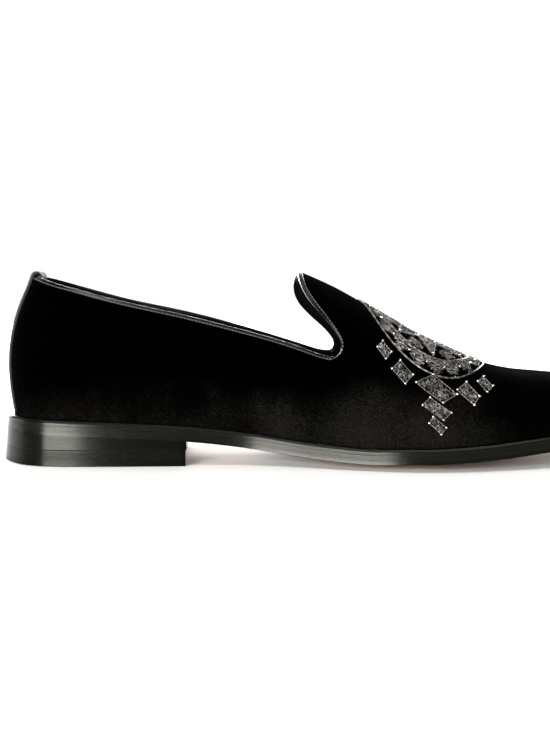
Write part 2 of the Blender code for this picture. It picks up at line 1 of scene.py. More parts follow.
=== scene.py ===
import bmesh
import bpy
import numpy as np
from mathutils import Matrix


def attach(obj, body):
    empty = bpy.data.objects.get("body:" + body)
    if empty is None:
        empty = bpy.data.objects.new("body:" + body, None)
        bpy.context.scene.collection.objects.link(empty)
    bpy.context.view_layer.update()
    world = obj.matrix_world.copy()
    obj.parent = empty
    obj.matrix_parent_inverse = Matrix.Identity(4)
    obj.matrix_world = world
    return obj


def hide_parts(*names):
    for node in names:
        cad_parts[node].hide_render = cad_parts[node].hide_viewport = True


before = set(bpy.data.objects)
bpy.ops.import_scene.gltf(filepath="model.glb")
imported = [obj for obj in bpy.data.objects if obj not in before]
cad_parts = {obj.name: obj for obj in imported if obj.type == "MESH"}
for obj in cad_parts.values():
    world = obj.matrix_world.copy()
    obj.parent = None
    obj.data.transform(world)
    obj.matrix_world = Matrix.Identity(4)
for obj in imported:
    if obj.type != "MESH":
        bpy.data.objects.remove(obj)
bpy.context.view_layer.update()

# Sock lining. The real piece is a thin leather sock glued over the insole board, cut to the inside of the
# upper. It is black leather with a fine grain, dulled where the foot rests. The sole's outline and
# underside, which every lower piece follows, start here.
SOLE_LENGTH = 0.300
BALL_HALF_WIDTH = 0.052
INSTEP_HEIGHT = 0.0837
HEEL_PITCH = 0.0143
OUTSOLE_THICK = 0.0039
MIDSOLE_THICK = 0.0023
LAYER_GAP = 0.0003
UPPER_WALL = 0.0020
SOCK_THICK = 0.0025
SOLE_MARGIN = 0.0030
BALL_CAMBER = 0.0031
UPPER_FOOT = OUTSOLE_THICK + MIDSOLE_THICK + 2 * LAYER_GAP
CAMBER_STARTS = 0.40
END_WIDTH = 0.030
SMALLEST = 1e-12
MM = 1e-3

# Columns: name, share of sole length, share of ball half width, outer side negative.
OUTLINE = [
    ("heel back", 0.000, 0.000),
    ("outer heel curve", 0.030, -0.420),
    ("outer heel side", 0.100, -0.600),
    ("outer heel breast", 0.260, -0.600),
    ("outer waist", 0.385, -0.620),
    ("outer behind ball", 0.500, -0.840),
    ("outer ball", 0.610, -1.000),
    ("outer before ball", 0.720, -0.940),
    ("outer toe side", 0.860, -0.680),
    ("outer toe curve", 0.960, -0.350),
    ("toe tip", 1.000, 0.110),
    ("inner toe curve", 0.965, 0.540),
    ("inner toe side", 0.880, 0.790),
    ("inner before ball", 0.780, 0.910),
    ("inner ball", 0.700, 0.960),
    ("inner behind ball", 0.580, 0.790),
    ("inner waist", 0.440, 0.520),
    ("inner arch", 0.330, 0.490),
    ("inner heel breast", 0.230, 0.580),
    ("inner heel side", 0.110, 0.610),
    ("inner heel curve", 0.030, 0.420),
]
TOE_ROW = 10
OUTLINE_STEPS = 900

# Columns: share along one side, margin past the upper's foot as a share of SOLE_MARGIN.
MARGIN = [
    (0.00, 1.333),
    (0.06, 1.133),
    (0.14, 0.667),
    (0.35, 0.500),
    (0.60, 0.867),
    (0.85, 0.933),
    (1.00, 1.000),
]

# Columns: share of length, height as a share of heel pitch, rise of the edges as a share of BALL_CAMBER.
PROFILE = [
    (0.000, 1.000, 0.000),
    (0.060, 0.950, 0.000),
    (0.150, 0.880, 0.000),
    (0.230, 0.800, 0.000),
    (0.280, 0.727, 0.000),
    (0.340, 0.580, 0.074),
    (0.390, 0.425, 0.185),
    (0.445, 0.225, 0.407),
    (0.500, 0.075, 0.667),
    (0.550, -0.010, 0.852),
    (0.590, -0.030, 0.963),
    (0.630, 0.000, 1.000),
    (0.700, 0.095, 0.926),
    (0.780, 0.260, 0.852),
    (0.860, 0.460, 0.667),
    (0.940, 0.695, 0.333),
    (1.000, 0.885, 0.000),
]


def second_slopes(knots, values, closed=False):
    """Second slopes of the cubic curve: at each knot the first slopes meet. Ends are free or closed."""
    count = len(knots)
    step = np.diff(knots)
    rise = np.diff(values, axis=0) / step.reshape((-1,) + (1,) * (values.ndim - 1))
    inner = np.arange(1, count - 1)
    system = np.eye(count)
    system[inner, inner - 1] = step[:-1]
    system[inner, inner] = 2 * (step[:-1] + step[1:])
    system[inner, inner + 1] = step[1:]
    right = np.zeros_like(values)
    right[1:-1] = 6 * (rise[1:] - rise[:-1])
    if closed:
        system[0, [0, 1, -2]] = 2 * (step[0] + step[-1]), step[0], step[-1]
        right[0] = 6 * (rise[0] - rise[-1])
        system[-1, [0, -1]] = -1.0, 1.0
    return np.linalg.solve(system, right)


def curve(knots, values, at, closed=False):
    """The cubic curve through values at knots: b*v0 + a*v1 + ((b^3-b)*bend0 + (a^3-a)*bend1) * step^2 / 6."""
    knots = np.asarray(knots, float)
    values = np.asarray(values, float)
    bend = second_slopes(knots, values, closed)
    place = np.clip(np.searchsorted(knots, at, side="right") - 1, 0, len(knots) - 2)
    step = knots[place + 1] - knots[place]
    before = (knots[place + 1] - at) / step
    after = 1.0 - before
    shape = (-1,) + (1,) * (values.ndim - 1)
    before, after, step = (part.reshape(shape) for part in (before, after, step))
    straight = before * values[place] + after * values[place + 1]
    bent = (before**3 - before) * bend[place] + (after**3 - after) * bend[place + 1]
    return straight + bent * step**2 / 6


def summed_length(points):
    """The distance run along a line of points."""
    return np.concatenate([[0.0], np.cumsum(np.linalg.norm(np.diff(points, axis=0), axis=1))])


def read_at(at, along, rows):
    """Rows of values, one for each distance along a line, read at other distances."""
    return np.stack([np.interp(at, along, column) for column in rows.T], axis=-1)


def side_outline(side):
    """One side of the closed outline from heel to toe: places, outward ways (the slope turned by 90
    degrees) and shares of the length along it."""
    rows = np.array([row[1:] for row in OUTLINE + OUTLINE[:1]]) * [SOLE_LENGTH, BALL_HALF_WIDTH]
    last = len(OUTLINE)
    reach = np.linspace(0 if side < 0 else last, TOE_ROW, OUTLINE_STEPS)
    knots = np.arange(last + 1)
    points = curve(knots, rows, reach, closed=True)
    step = 0.001
    slope = curve(knots, rows, (reach + step) % last, closed=True)
    slope = slope - curve(knots, rows, (reach - step) % last, closed=True)
    outward = np.stack([slope[:, 1], -slope[:, 0]], axis=1)
    outward /= np.linalg.norm(outward, axis=1)[:, None]
    along = summed_length(points)
    return points, outward, along / along[-1]


SIDE_LINES = {side: side_outline(side) for side in (-1, 1)}
CENTRE = np.array([SOLE_LENGTH / 2, (SIDE_LINES[-1][0][:, 1].min() + SIDE_LINES[1][0][:, 1].max()) / 2, 0.0])


def edge_points(side, shares, inset=0.0):
    """Points at shares along one side, moved in by the inset: place - outward way * inset."""
    points, outward, along = SIDE_LINES[side]
    normal = read_at(shares, along, outward)
    normal /= np.linalg.norm(normal, axis=1)[:, None]
    return read_at(shares, along, points) - normal * np.reshape(inset, (-1, 1)), normal


def margin(shares):
    """The sole's margin past the upper, read from its table."""
    table = np.array(MARGIN)
    return SOLE_MARGIN * curve(table[:, 0], table[:, 1], shares)


def underside(x, across):
    """Height of the sole's underside: the profile at x, plus the camber times the share outward ^ 1.5."""
    table = np.array(PROFILE)
    share = np.clip(x / SOLE_LENGTH, 0.0, 1.0)
    height = curve(table[:, 0], table[:, 1] * HEEL_PITCH, share.ravel()).reshape(share.shape)
    camber = curve(table[:, 0], table[:, 2] * BALL_CAMBER, share.ravel()).reshape(share.shape)
    out = np.clip((np.abs(across) - CAMBER_STARTS) / (1 - CAMBER_STARTS), 0.0, 1.0)
    return np.maximum(height, 0.0) + np.maximum(camber, 0.0) * out**1.5


def quads(*corners):
    """Four-cornered faces from the arrays of their corners' numbers."""
    return np.stack([corner.ravel() for corner in corners], axis=1).tolist()


def grid_faces(columns, rows, start=0, tube=False):
    """Faces of a grid numbered by columns. In a tube, the last row joins the first and ends are closed."""
    number = start + np.arange(columns * rows).reshape(columns, rows)
    ends = [number[0].tolist(), number[-1].tolist()] if tube else []
    if tube:
        number = np.concatenate([number, number[:, :1]], axis=1)
    return quads(number[:-1, :-1], number[1:, :-1], number[1:, 1:], number[:-1, 1:]) + ends


def add_piece(name, points, faces, finish, marks=None, merge=1e-6):
    """Puts points and faces into a mesh, each mark as an attribute, merges doubles, turns faces outward."""
    mesh = bpy.data.meshes.new(name)
    mesh.from_pydata((points.reshape(-1, 3) - CENTRE).tolist(), [], faces)
    for mark, values in (marks or {}).items():
        layer = mesh.attributes.new(mark, "FLOAT", "POINT")
        layer.data.foreach_set("value", np.ravel(values).astype(np.float32))
    shape = bmesh.new()
    shape.from_mesh(mesh)
    bmesh.ops.remove_doubles(shape, verts=shape.verts, dist=merge)
    bmesh.ops.recalc_face_normals(shape, faces=shape.faces)
    for face in shape.faces:
        face.smooth = True
    shape.to_mesh(mesh)
    shape.free()
    mesh.materials.append(finish)
    piece = bpy.data.objects.new(name, mesh)
    bpy.context.collection.objects.link(piece)
    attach(piece, "root")
    return piece


ACROSS_SHARES = (np.sin(np.linspace(-1, 1, 15) * np.pi / 2) + 1) / 2
CORNER = np.radians([0, 30, 60, 90])
WALL = np.array([0.06, 0.5, 0.94])


def plate(name, shares, inset, floor, roof, roundings, finish, breast=0.0, flares=(0.0, 0.0)):
    """A closed plate in the sole's outline. Each column is a loop round it: across below, up one edge, back
    above, down the other. At its low and high corners the inset is r(1-sin a) - flare and the rise r(1-cos
    a), and the mark rub is highest. Three more rows keep each edge's wall flat between them."""
    flat = np.zeros(len(ACROSS_SHARES))
    turn = np.ones(len(CORNER))
    low_in, high_in = (rounding * (1 - np.sin(CORNER)) - flare for rounding, flare in zip(roundings, flares))
    low_up, high_up = (rounding * (1 - np.cos(CORNER)) for rounding in roundings)
    worn = np.sin(CORNER * 2) * 0.6 + 0.4
    wall = turn[: len(WALL)]
    wall_in = -(flares[0] * (1 - WALL) + flares[1] * WALL)
    t = np.concatenate([ACROSS_SHARES, turn, wall, turn, ACROSS_SHARES[::-1], 0 * turn, 0 * wall, 0 * turn])
    up_in, down_in = [low_in, wall_in, high_in[::-1]], [high_in, wall_in[::-1], low_in[::-1]]
    pull = np.concatenate([flat + low_in[0], *up_in, flat + high_in[0], *down_in])
    level = np.concatenate([flat, 0 * turn, WALL, turn, flat + 1, turn, WALL[::-1], 0 * turn])
    rise = np.concatenate([flat, low_up, 0 * wall, -high_up[::-1], flat, -high_up, 0 * wall, low_up[::-1]])
    rub = np.concatenate([flat, worn, 0 * wall, worn[::-1], flat, worn, 0 * wall, worn[::-1]])
    ends = []
    for side, reach in zip((-1, 1), shares):
        place, normal = edge_points(side, reach, inset)
        ends.append(place[:, None] - normal[:, None] * pull[None, :, None])
    xy = ends[0] * (1 - t[None, :, None]) + ends[1] * t[None, :, None]
    fade = np.minimum(np.linalg.norm(ends[1][:, 0] - ends[0][:, 0], axis=1) / END_WIDTH, 1.0)[:, None]
    off_middle = (2 * t - 1)[None]
    along = (shares[0] / shares[0][-1])[:, None]
    xy[..., 0] -= breast * along**4 * (1 - off_middle**2)
    low, high = (surface(xy[..., 0], off_middle * fade) for surface in (floor, roof))
    z = low + (high - low) * level + rise
    points = np.concatenate([xy, z[..., None]], axis=2)
    marks = {"rub": np.broadcast_to(rub, z.shape)}
    return add_piece(name, points, grid_faces(*z.shape, tube=True), finish, marks)


def over_underside(lift):
    """A height surface: the underside plus a lift."""
    return lambda x, across: underside(x, across) + lift


def new_finish(name, **sockets):
    """A material whose Principled BSDF has these plain values, by socket name with _ for a space."""
    made = bpy.data.materials.new(name)
    made.use_nodes = True
    shader = made.node_tree.nodes["Principled BSDF"]
    for socket, value in sockets.items():
        shader.inputs[socket.replace("_", " ")].default_value = value
    return made, made.node_tree, shader


def add_node(tree, kind, settings=None, **inputs):
    """A node with its settings and inputs, by name or as i and a number: values or other nodes' outputs."""
    node = tree.nodes.new(kind)
    for key, value in (settings or {}).items():
        setattr(node, key, value)
    for key, value in inputs.items():
        socket = node.inputs[int(key[1:]) if key[1:].isdigit() else key.replace("_", " ")]
        if isinstance(value, bpy.types.NodeSocket):
            tree.links.new(value, socket)
        else:
            socket.default_value = value
    return node


def new_group(name, inputs, outputs):
    """An empty shader node group with float inputs and float outputs of these names."""
    group = bpy.data.node_groups.new(name, "ShaderNodeTree")
    for way, labels in (("INPUT", inputs), ("OUTPUT", outputs)):
        for label in labels:
            group.interface.new_socket(label, in_out=way, socket_type="NodeSocketFloat")
    return group, group.nodes.new("NodeGroupInput").outputs, group.nodes.new("NodeGroupOutput").inputs


def object_place(tree):
    """Object coordinates in metres."""
    return tree.nodes.new("ShaderNodeTexCoord").outputs["Object"]


def noise(tree, scale, detail=2.0, stretch=(1.0, 1.0, 1.0)):
    """A noise's value, its scale in cells to a metre and times the stretch on each axis."""
    place = add_node(tree, "ShaderNodeMapping", i0=object_place(tree), Scale=stretch).outputs[0]
    return add_node(tree, "ShaderNodeTexNoise", Vector=place, Scale=scale, Detail=detail).outputs[0]


def mix_colour(tree, share, first, second):
    """first where the share is 0 and second where it is 1. A colour may be another node's output."""
    both = [part if isinstance(part, bpy.types.NodeSocket) else (*part, 1.0) for part in (first, second)]
    return add_node(tree, "ShaderNodeMix", {"data_type": "RGBA"}, i0=share, i6=both[0], i7=both[1]).outputs[2]


def ranged(tree, value, low, high, to_low, to_high):
    """The value moved from one range to another and held inside it."""
    return add_node(
        tree, "ShaderNodeMapRange", Value=value, From_Min=low, From_Max=high, To_Min=to_low, To_Max=to_high
    ).outputs[0]


def math_node(tree, first, second, operation="MULTIPLY"):
    """Two values multiplied, or joined by another operation."""
    return add_node(tree, "ShaderNodeMath", {"operation": operation}, i0=first, i1=second).outputs[0]


def raise_by(tree, shader, height, strength, distance):
    """Bump: the height, up to a distance in metres, tips the shader's normal."""
    raised = add_node(tree, "ShaderNodeBump", Height=height, Strength=strength, Distance=distance)
    tree.links.new(raised.outputs[0], shader.inputs["Normal"])


def grain_group():
    """Leather grain: pebbles are the distance to the nearest cell point, pores an added finer noise."""
    group, given, result = new_group("leather grain", ["Pebbles per metre"], ["Height", "Blotch"])
    pebbles = given["Pebbles per metre"]
    cells = add_node(group, "ShaderNodeTexVoronoi", Vector=object_place(group), Scale=pebbles)
    pores = math_node(group, noise(group, math_node(group, pebbles, 3.1), 3.0), 0.4)
    group.links.new(math_node(group, cells.outputs["Distance"], pores, "ADD"), result["Height"])
    group.links.new(noise(group, 60.0, 4.0), result["Blotch"])
    return group


LEATHER_GRAIN = grain_group()


def leather_finish(name, dark, light, rough_low, rough_high, pebbles, bump, specular=0.5):
    """Grained leather: its colour and roughness follow the blotches, its bump the grain."""
    finish, tree, shader = new_finish(name, Specular_IOR_Level=specular)
    grain = add_node(tree, "ShaderNodeGroup", {"node_tree": LEATHER_GRAIN}, Pebbles_per_metre=pebbles)
    blotch = ranged(tree, grain.outputs["Blotch"], 0.35, 0.65, 0.0, 1.0)
    tree.links.new(mix_colour(tree, blotch, dark, light), shader.inputs["Base Color"])
    tree.links.new(ranged(tree, blotch, 0.0, 1.0, rough_low, rough_high), shader.inputs["Roughness"])
    raise_by(tree, shader, grain.outputs["Height"], 0.6, bump)
    return finish


# Shares along one side of the sole, closer together toward its ends.
turning = np.linspace(0, np.pi, 151)
WHOLE_SIDE = (1 - np.cos(turning)) / 2 * 0.6 + turning / np.pi * 0.4
sock_leather = leather_finish(
    "sock leather", (0.010, 0.009, 0.008), (0.024, 0.021, 0.018), 0.42, 0.6, 1300, 0.00012
)
sock = plate(
    "sock_lining_piece",
    (WHOLE_SIDE, WHOLE_SIDE),
    margin(WHOLE_SIDE) + UPPER_WALL + LAYER_GAP,
    over_underside(UPPER_FOOT),
    over_underside(UPPER_FOOT + SOCK_THICK),
    (0.0006, 0.0006),
    sock_leather,
)
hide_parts("insole")

# Velvet upper. The real one is black cotton velvet on a stiff backing, cut as a plain vamp and quarters and
# drawn over a last, then glued and stitched to the welt. The pile lies downward, and the low parts catch more
# light from the floor; that light is painted into the velvet's colour as painted bounce light. A few soft
# folds stay where the foot bends. This thin shell lies over the lining.
THROAT_ROW = 9

# Columns: name, share along the side of the sole, top end as shares of sole length, ball half width and
# instep height, facing in degrees, outward lean at the sole, lower arm, inward tuck at the top, upper arm.
OUTER_SIDE = [
    ("back seam", 0.000, 0.0410, 0.000, 0.980, 90, 10, 0.34, 28, 0.44),
    ("heel curve", 0.055, 0.0520, -0.200, 0.968, 62, 10, 0.36, 25, 0.42),
    ("heel side", 0.110, 0.0807, -0.360, 0.935, 32, 10, 0.39, 20, 0.36),
    ("counter", 0.170, 0.1200, -0.450, 0.898, 12, 10, 0.40, 15, 0.33),
    ("rear quarter", 0.238, 0.1830, -0.500, 0.839, 2, 9, 0.40, 12, 0.33),
    ("quarter", 0.310, 0.2670, -0.510, 0.772, 0, 8, 0.40, 12, 0.33),
    ("waist", 0.375, 0.3467, -0.531, 0.700, -6, 6, 0.40, 13, 0.33),
    ("front quarter", 0.430, 0.4167, -0.558, 0.630, -14, 5, 0.38, 15, 0.33),
    ("throat", 0.474, 0.4650, -0.585, 0.570, -24, 4, 0.36, 18, 0.33),
    ("throat low", 0.502, 0.4867, -0.596, 0.548, -32, 4, 0.35, 22, 0.33),
    ("throat front", 0.545, 0.5233, -0.698, 0.514, -26, 4, 0.34, 27, 0.33),
    ("instep side", 0.590, 0.5700, -0.788, 0.472, -19, 4, 0.34, 32, 0.33),
    ("ball side", 0.640, 0.6267, -0.838, 0.425, -11, 5, 0.34, 38, 0.33),
    ("vamp side", 0.692, 0.6867, -0.819, 0.387, -5, 6, 0.34, 43, 0.33),
    ("toe root side", 0.744, 0.7467, -0.742, 0.366, -3, 6, 0.35, 47, 0.33),
    ("toe side", 0.800, 0.8100, -0.612, 0.358, -9, 6, 0.36, 50, 0.33),
    ("toe shoulder", 0.866, 0.8767, -0.431, 0.361, -24, 6, 0.37, 52, 0.33),
    ("toe curve", 0.935, 0.9333, -0.183, 0.368, -52, 6, 0.38, 55, 0.33),
    ("toe middle", 1.000, 0.9617, 0.115, 0.373, -90, 6, 0.38, 56, 0.33),
]
INNER_SIDE = [
    ("back seam", 0.000, 0.0410, 0.000, 0.980, 90, 10, 0.34, 28, 0.44),
    ("heel curve", 0.055, 0.0520, 0.200, 0.968, 62, 10, 0.36, 25, 0.42),
    ("heel side", 0.110, 0.0807, 0.360, 0.934, 32, 10, 0.39, 20, 0.36),
    ("counter", 0.170, 0.1200, 0.446, 0.891, 12, 10, 0.40, 15, 0.33),
    ("rear quarter", 0.240, 0.1830, 0.485, 0.830, 2, 11, 0.40, 12, 0.33),
    ("quarter", 0.312, 0.2670, 0.490, 0.765, 0, 13, 0.40, 11, 0.33),
    ("arch", 0.378, 0.3467, 0.506, 0.689, -6, 15, 0.40, 11, 0.33),
    ("front quarter", 0.434, 0.4167, 0.531, 0.613, -14, 15, 0.38, 12, 0.33),
    ("throat", 0.476, 0.4650, 0.558, 0.556, -24, 14, 0.36, 14, 0.33),
    ("throat low", 0.504, 0.4880, 0.567, 0.538, -32, 13, 0.35, 17, 0.33),
    ("throat front", 0.546, 0.5233, 0.644, 0.521, -26, 11, 0.34, 22, 0.33),
    ("instep side", 0.590, 0.5700, 0.723, 0.495, -19, 8, 0.34, 28, 0.33),
    ("ball side", 0.640, 0.6267, 0.788, 0.452, -11, 6, 0.34, 36, 0.33),
    ("vamp side", 0.692, 0.6867, 0.808, 0.409, -5, 6, 0.34, 43, 0.33),
    ("toe root side", 0.744, 0.7467, 0.777, 0.382, -3, 6, 0.35, 47, 0.33),
    ("toe side", 0.800, 0.8100, 0.708, 0.369, -9, 6, 0.36, 50, 0.33),
    ("toe shoulder", 0.866, 0.8767, 0.558, 0.363, -24, 6, 0.37, 54, 0.33),
    ("toe curve", 0.935, 0.9333, 0.375, 0.368, -52, 6, 0.38, 55, 0.33),
    ("toe middle", 1.000, 0.9617, 0.115, 0.373, -90, 6, 0.38, 56, 0.33),
]
SIDES = (OUTER_SIDE, INNER_SIDE)
NAMED_SIZES = [SOLE_LENGTH, BALL_HALF_WIDTH, INSTEP_HEIGHT]

# Columns: name, place as shares of sole length, half width and instep height, facing, tuck, two arms.
RIDGE = [
    ("tongue tip", 0.4473, 0.048, 1.000, 6, 84, 0.33, 0.33),
    ("high instep", 0.4967, 0.052, 0.920, -17, 80, 0.36, 0.38),
    ("instep", 0.5500, 0.058, 0.812, -13, 83, 0.37, 0.40),
    ("ball", 0.6133, 0.067, 0.681, -9, 85, 0.37, 0.42),
    ("vamp", 0.6767, 0.077, 0.572, -6, 88, 0.36, 0.42),
    ("toe root", 0.7400, 0.087, 0.485, -4, 89, 0.33, 0.40),
    ("toe", 0.7933, 0.096, 0.453, -10, 89, 0.33, 0.40),
    ("toe shoulder", 0.8333, 0.104, 0.442, -27, 88, 0.33, 0.42),
    ("toe curve", 0.8600, 0.112, 0.435, -56, 86, 0.33, 0.43),
    ("toe middle", 0.8767, 0.115, 0.428, -90, 83, 0.33, 0.44),
]

# The tongue's edge from throat to tip. Columns: shares of sole length, ball half width, instep height.
OUTER_TONGUE_EDGE = [
    (0.4867, -0.596, 0.548),
    (0.5010, -0.588, 0.573),
    (0.5063, -0.558, 0.624),
    (0.5013, -0.538, 0.674),
    (0.4900, -0.496, 0.735),
    (0.4767, -0.435, 0.797),
    (0.4633, -0.346, 0.859),
    (0.4537, -0.238, 0.916),
    (0.4490, -0.123, 0.964),
    (0.4473, 0.048, 1.000),
]
INNER_TONGUE_EDGE = [
    (0.4880, 0.567, 0.538),
    (0.5007, 0.563, 0.559),
    (0.5040, 0.546, 0.600),
    (0.4977, 0.531, 0.648),
    (0.4853, 0.508, 0.697),
    (0.4713, 0.477, 0.746),
    (0.4580, 0.438, 0.795),
    (0.4477, 0.388, 0.842),
    (0.4420, 0.323, 0.891),
    (0.4407, 0.246, 0.937),
    (0.4430, 0.158, 0.975),
    (0.4473, 0.048, 1.000),
]
TONGUE_EDGES = (OUTER_TONGUE_EDGE, INNER_TONGUE_EDGE)
THROAT_TURN = 62.0
THROAT_TURN_ROWS = 1.6
EDGE_REACH_ROWS = 2.2
PUCKER_HEIGHT = 0.00012
PUCKER_REACH = 0.22

# Soft folds, listed one by one. Columns: name, from (length, across, height) in mm, to the same, half width
# and depth in mm. A negative depth stands out.
FOLDS = [
    ("outer flex trough", (186, -8, 55), (202, -44, 30), 5.0, 0.45),
    ("outer flex roll", (193, -10, 52), (208, -43, 28), 4.5, -0.30),
    ("outer second trough", (202, -14, 47), (214, -40, 27), 4.0, 0.28),
    ("inner flex trough", (186, 14, 55), (203, 43, 32), 5.0, 0.45),
    ("inner flex roll", (194, 16, 52), (210, 42, 30), 4.5, -0.30),
    ("outer throat drag", (153, -32, 46), (166, -44, 22), 4.5, 0.38),
    ("inner throat drag", (153, 32, 46), (166, 40, 24), 4.5, 0.38),
    ("outer waist drag", (112, -29, 46), (138, -34, 16), 6.0, 0.35),
    ("inner waist drag", (112, 28, 46), (136, 26, 18), 6.0, 0.35),
    ("outer counter edge", (70, -28, 62), (78, -29, 14), 3.5, 0.30),
    ("inner counter edge", (70, 27, 62), (78, 27, 14), 3.5, 0.30),
    ("outer quarter dimple", (44, -26, 60), (60, -29, 40), 7.0, 0.25),
    ("toe break", (233, -22, 37), (236, 26, 37), 6.0, 0.22),
]


def direction(side, facing, tuck):
    """Unit ways that lean inward from upright by the tuck, toward the way faced."""
    facing, tuck = np.radians(facing)[:, None], np.radians(tuck)[:, None]
    across = np.concatenate([np.sin(facing), -side * np.cos(facing), 0 * facing], axis=1)
    return np.sin(tuck) * across + np.cos(tuck) * np.array([[0.0, 0.0, 1.0]])


def arc(ends, t):
    """Cubic arcs between four control points: a(1-t)^3 + 3bt(1-t)^2 + 3ct^2(1-t) + dt^3."""
    first, second, third, last = (part[:, None] for part in ends)
    t = np.atleast_2d(t)[:, :, None]
    return first * (1 - t) ** 3 + 3 * second * t * (1 - t) ** 2 + 3 * third * t**2 * (1 - t) + last * t**3


def side_arcs(side, places):
    """Control points of the sections' lower part, from the sole's edge to the collar or the vamp's side."""
    rows = np.array([row[1:] for row in SIDES[side > 0]], float)
    share, *top, facing, lean, rise, tuck, fall = curve(np.arange(len(rows)), rows, places).T
    share = np.clip(share, 0.0, 1.0)
    foot, outward = edge_points(side, share, margin(share))
    foot = np.column_stack([foot, underside(foot[:, 0], np.ones(len(foot))) + UPPER_FOOT])
    top = np.column_stack(top) * NAMED_SIZES
    chord = np.linalg.norm(top - foot, axis=1)[:, None]
    outward = np.column_stack([outward, np.zeros(len(foot))]) * np.sin(np.radians(lean))[:, None]
    upright = np.cos(np.radians(lean))[:, None] * np.array([[0.0, 0.0, 1.0]])
    lower_arm = foot + chord * rise[:, None] * (upright + outward)
    arriving = direction(side, facing, tuck)
    return (foot, lower_arm, top - chord * fall[:, None] * arriving, top), arriving


def vamp_arcs(side, places):
    """Control points of the upper part, to the ridge. They leave the lower part in its own direction,
    turned forward next to the throat by turn * (1 - distance)^2."""
    (_, _, _, start), leaving = side_arcs(side, places)
    step = 0.05
    (_, _, _, ahead), _ = side_arcs(side, np.minimum(places + step, len(RIDGE) - 1 + THROAT_ROW))
    (_, _, _, behind), _ = side_arcs(side, places - step)
    forward = unit(ahead - behind)
    beyond = places - THROAT_ROW
    turn = np.radians(THROAT_TURN) * np.clip(1 - beyond / THROAT_TURN_ROWS, 0.0, 1.0)[:, None] ** 2
    leaving = np.cos(turn) * leaving + np.sin(turn) * forward
    rows = np.array([row[1:] for row in RIDGE], float)
    *end, facing, tuck, first_arm, last_arm = curve(np.arange(len(rows)), rows, beyond).T
    end = np.column_stack(end) * NAMED_SIZES
    chord = np.linalg.norm(end - start, axis=1)[:, None]
    last = end - chord * last_arm[:, None] * direction(side, facing, tuck)
    return start, start + chord * first_arm[:, None] * leaving, last, end


def tongue_edge(side, climb):
    """The tongue's edge: the curve through its points at shares of their summed distance."""
    rows = np.array(TONGUE_EDGES[side > 0]) * NAMED_SIZES
    along = summed_length(rows)
    return curve(along / along[-1], rows, climb)


def lower_surface(side, places, climb):
    """The outside of the quarters and of the vamp's side: its arcs at each place and climb."""
    return arc(side_arcs(side, places)[0], climb)


def vamp_surface(side, places, climb):
    """The outside of the vamp above its side: its arcs, drawn onto the tongue's edge by a smooth step."""
    drawn = arc(vamp_arcs(side, places), climb)
    first = arc(vamp_arcs(side, np.array([float(THROAT_ROW)])), climb)
    off = tongue_edge(side, climb)[None] - first
    near = np.clip(1 - (places - THROAT_ROW) / EDGE_REACH_ROWS, 0.0, 1.0)
    return drawn + off * (near**2 * (3 - 2 * near))[:, None, None]


def unit(ways):
    """Ways with their length made one."""
    return ways / np.maximum(np.linalg.norm(ways, axis=-1, keepdims=True), SMALLEST)


def normals_of(surface, side, places, climb, lowest):
    """Outward normals: the cross product of small steps along and up the surface."""
    step = 0.02
    behind, ahead = np.clip(places - step, lowest, None), np.clip(places + step, None, len(OUTER_SIDE) - 1)
    along = surface(side, ahead, climb) - surface(side, behind, climb)
    below, above = np.clip(climb - step, 0, None), np.clip(climb + step, None, 1)
    rising = surface(side, places, above) - surface(side, places, below)
    return unit(np.cross(along, rising) * (-side))


def fold_depth(points):
    """The sum over the folds of depth * exp(-(distance / half width)^2) * (1 - (1 - 2 share)^4): a trough
    along each fold's line that fades out at its two ends."""
    total = np.zeros(points.shape[:-1])
    for _, start, end, half_width, depth in FOLDS:
        start, end = np.array(start) * MM, np.array(end) * MM
        line = end - start
        share = np.clip((points - start) @ line / (line @ line), 0.0, 1.0)
        away = np.linalg.norm(points - start - share[..., None] * line, axis=-1)
        total += depth * MM * np.exp(-((away / (half_width * MM)) ** 2)) * (1 - (1 - 2 * share) ** 4)
    return total


def lasting_ripple(shares, climb):
    """Small puckers where the velvet is drawn round the toe and heel: two waves along the foot, 46 and 29
    to a side, that fade out as (1 - climb / reach)^2."""
    near_ends = np.clip((shares - 0.80) / 0.12, 0, 1) + np.clip((0.09 - shares) / 0.06, 0, 1)
    wave = np.sin(shares * 2 * np.pi * 46) * 0.6 + np.sin(shares * 2 * np.pi * 29 + 1.3) * 0.4
    return PUCKER_HEIGHT * (near_ends * wave)[:, None] * (np.clip(1 - climb / PUCKER_REACH, 0, 1) ** 2)[None]


COLUMNS_PER_SECTION = 12
LOWER_CLIMB = np.linspace(0, 1, 31) ** 1.1
VAMP_CLIMB = np.linspace(0, 1, 53) ** 1.1
PLACES = np.linspace(0, len(OUTER_SIDE) - 1, (len(OUTER_SIDE) - 1) * COLUMNS_PER_SECTION + 1)
THROAT = THROAT_ROW * COLUMNS_PER_SECTION


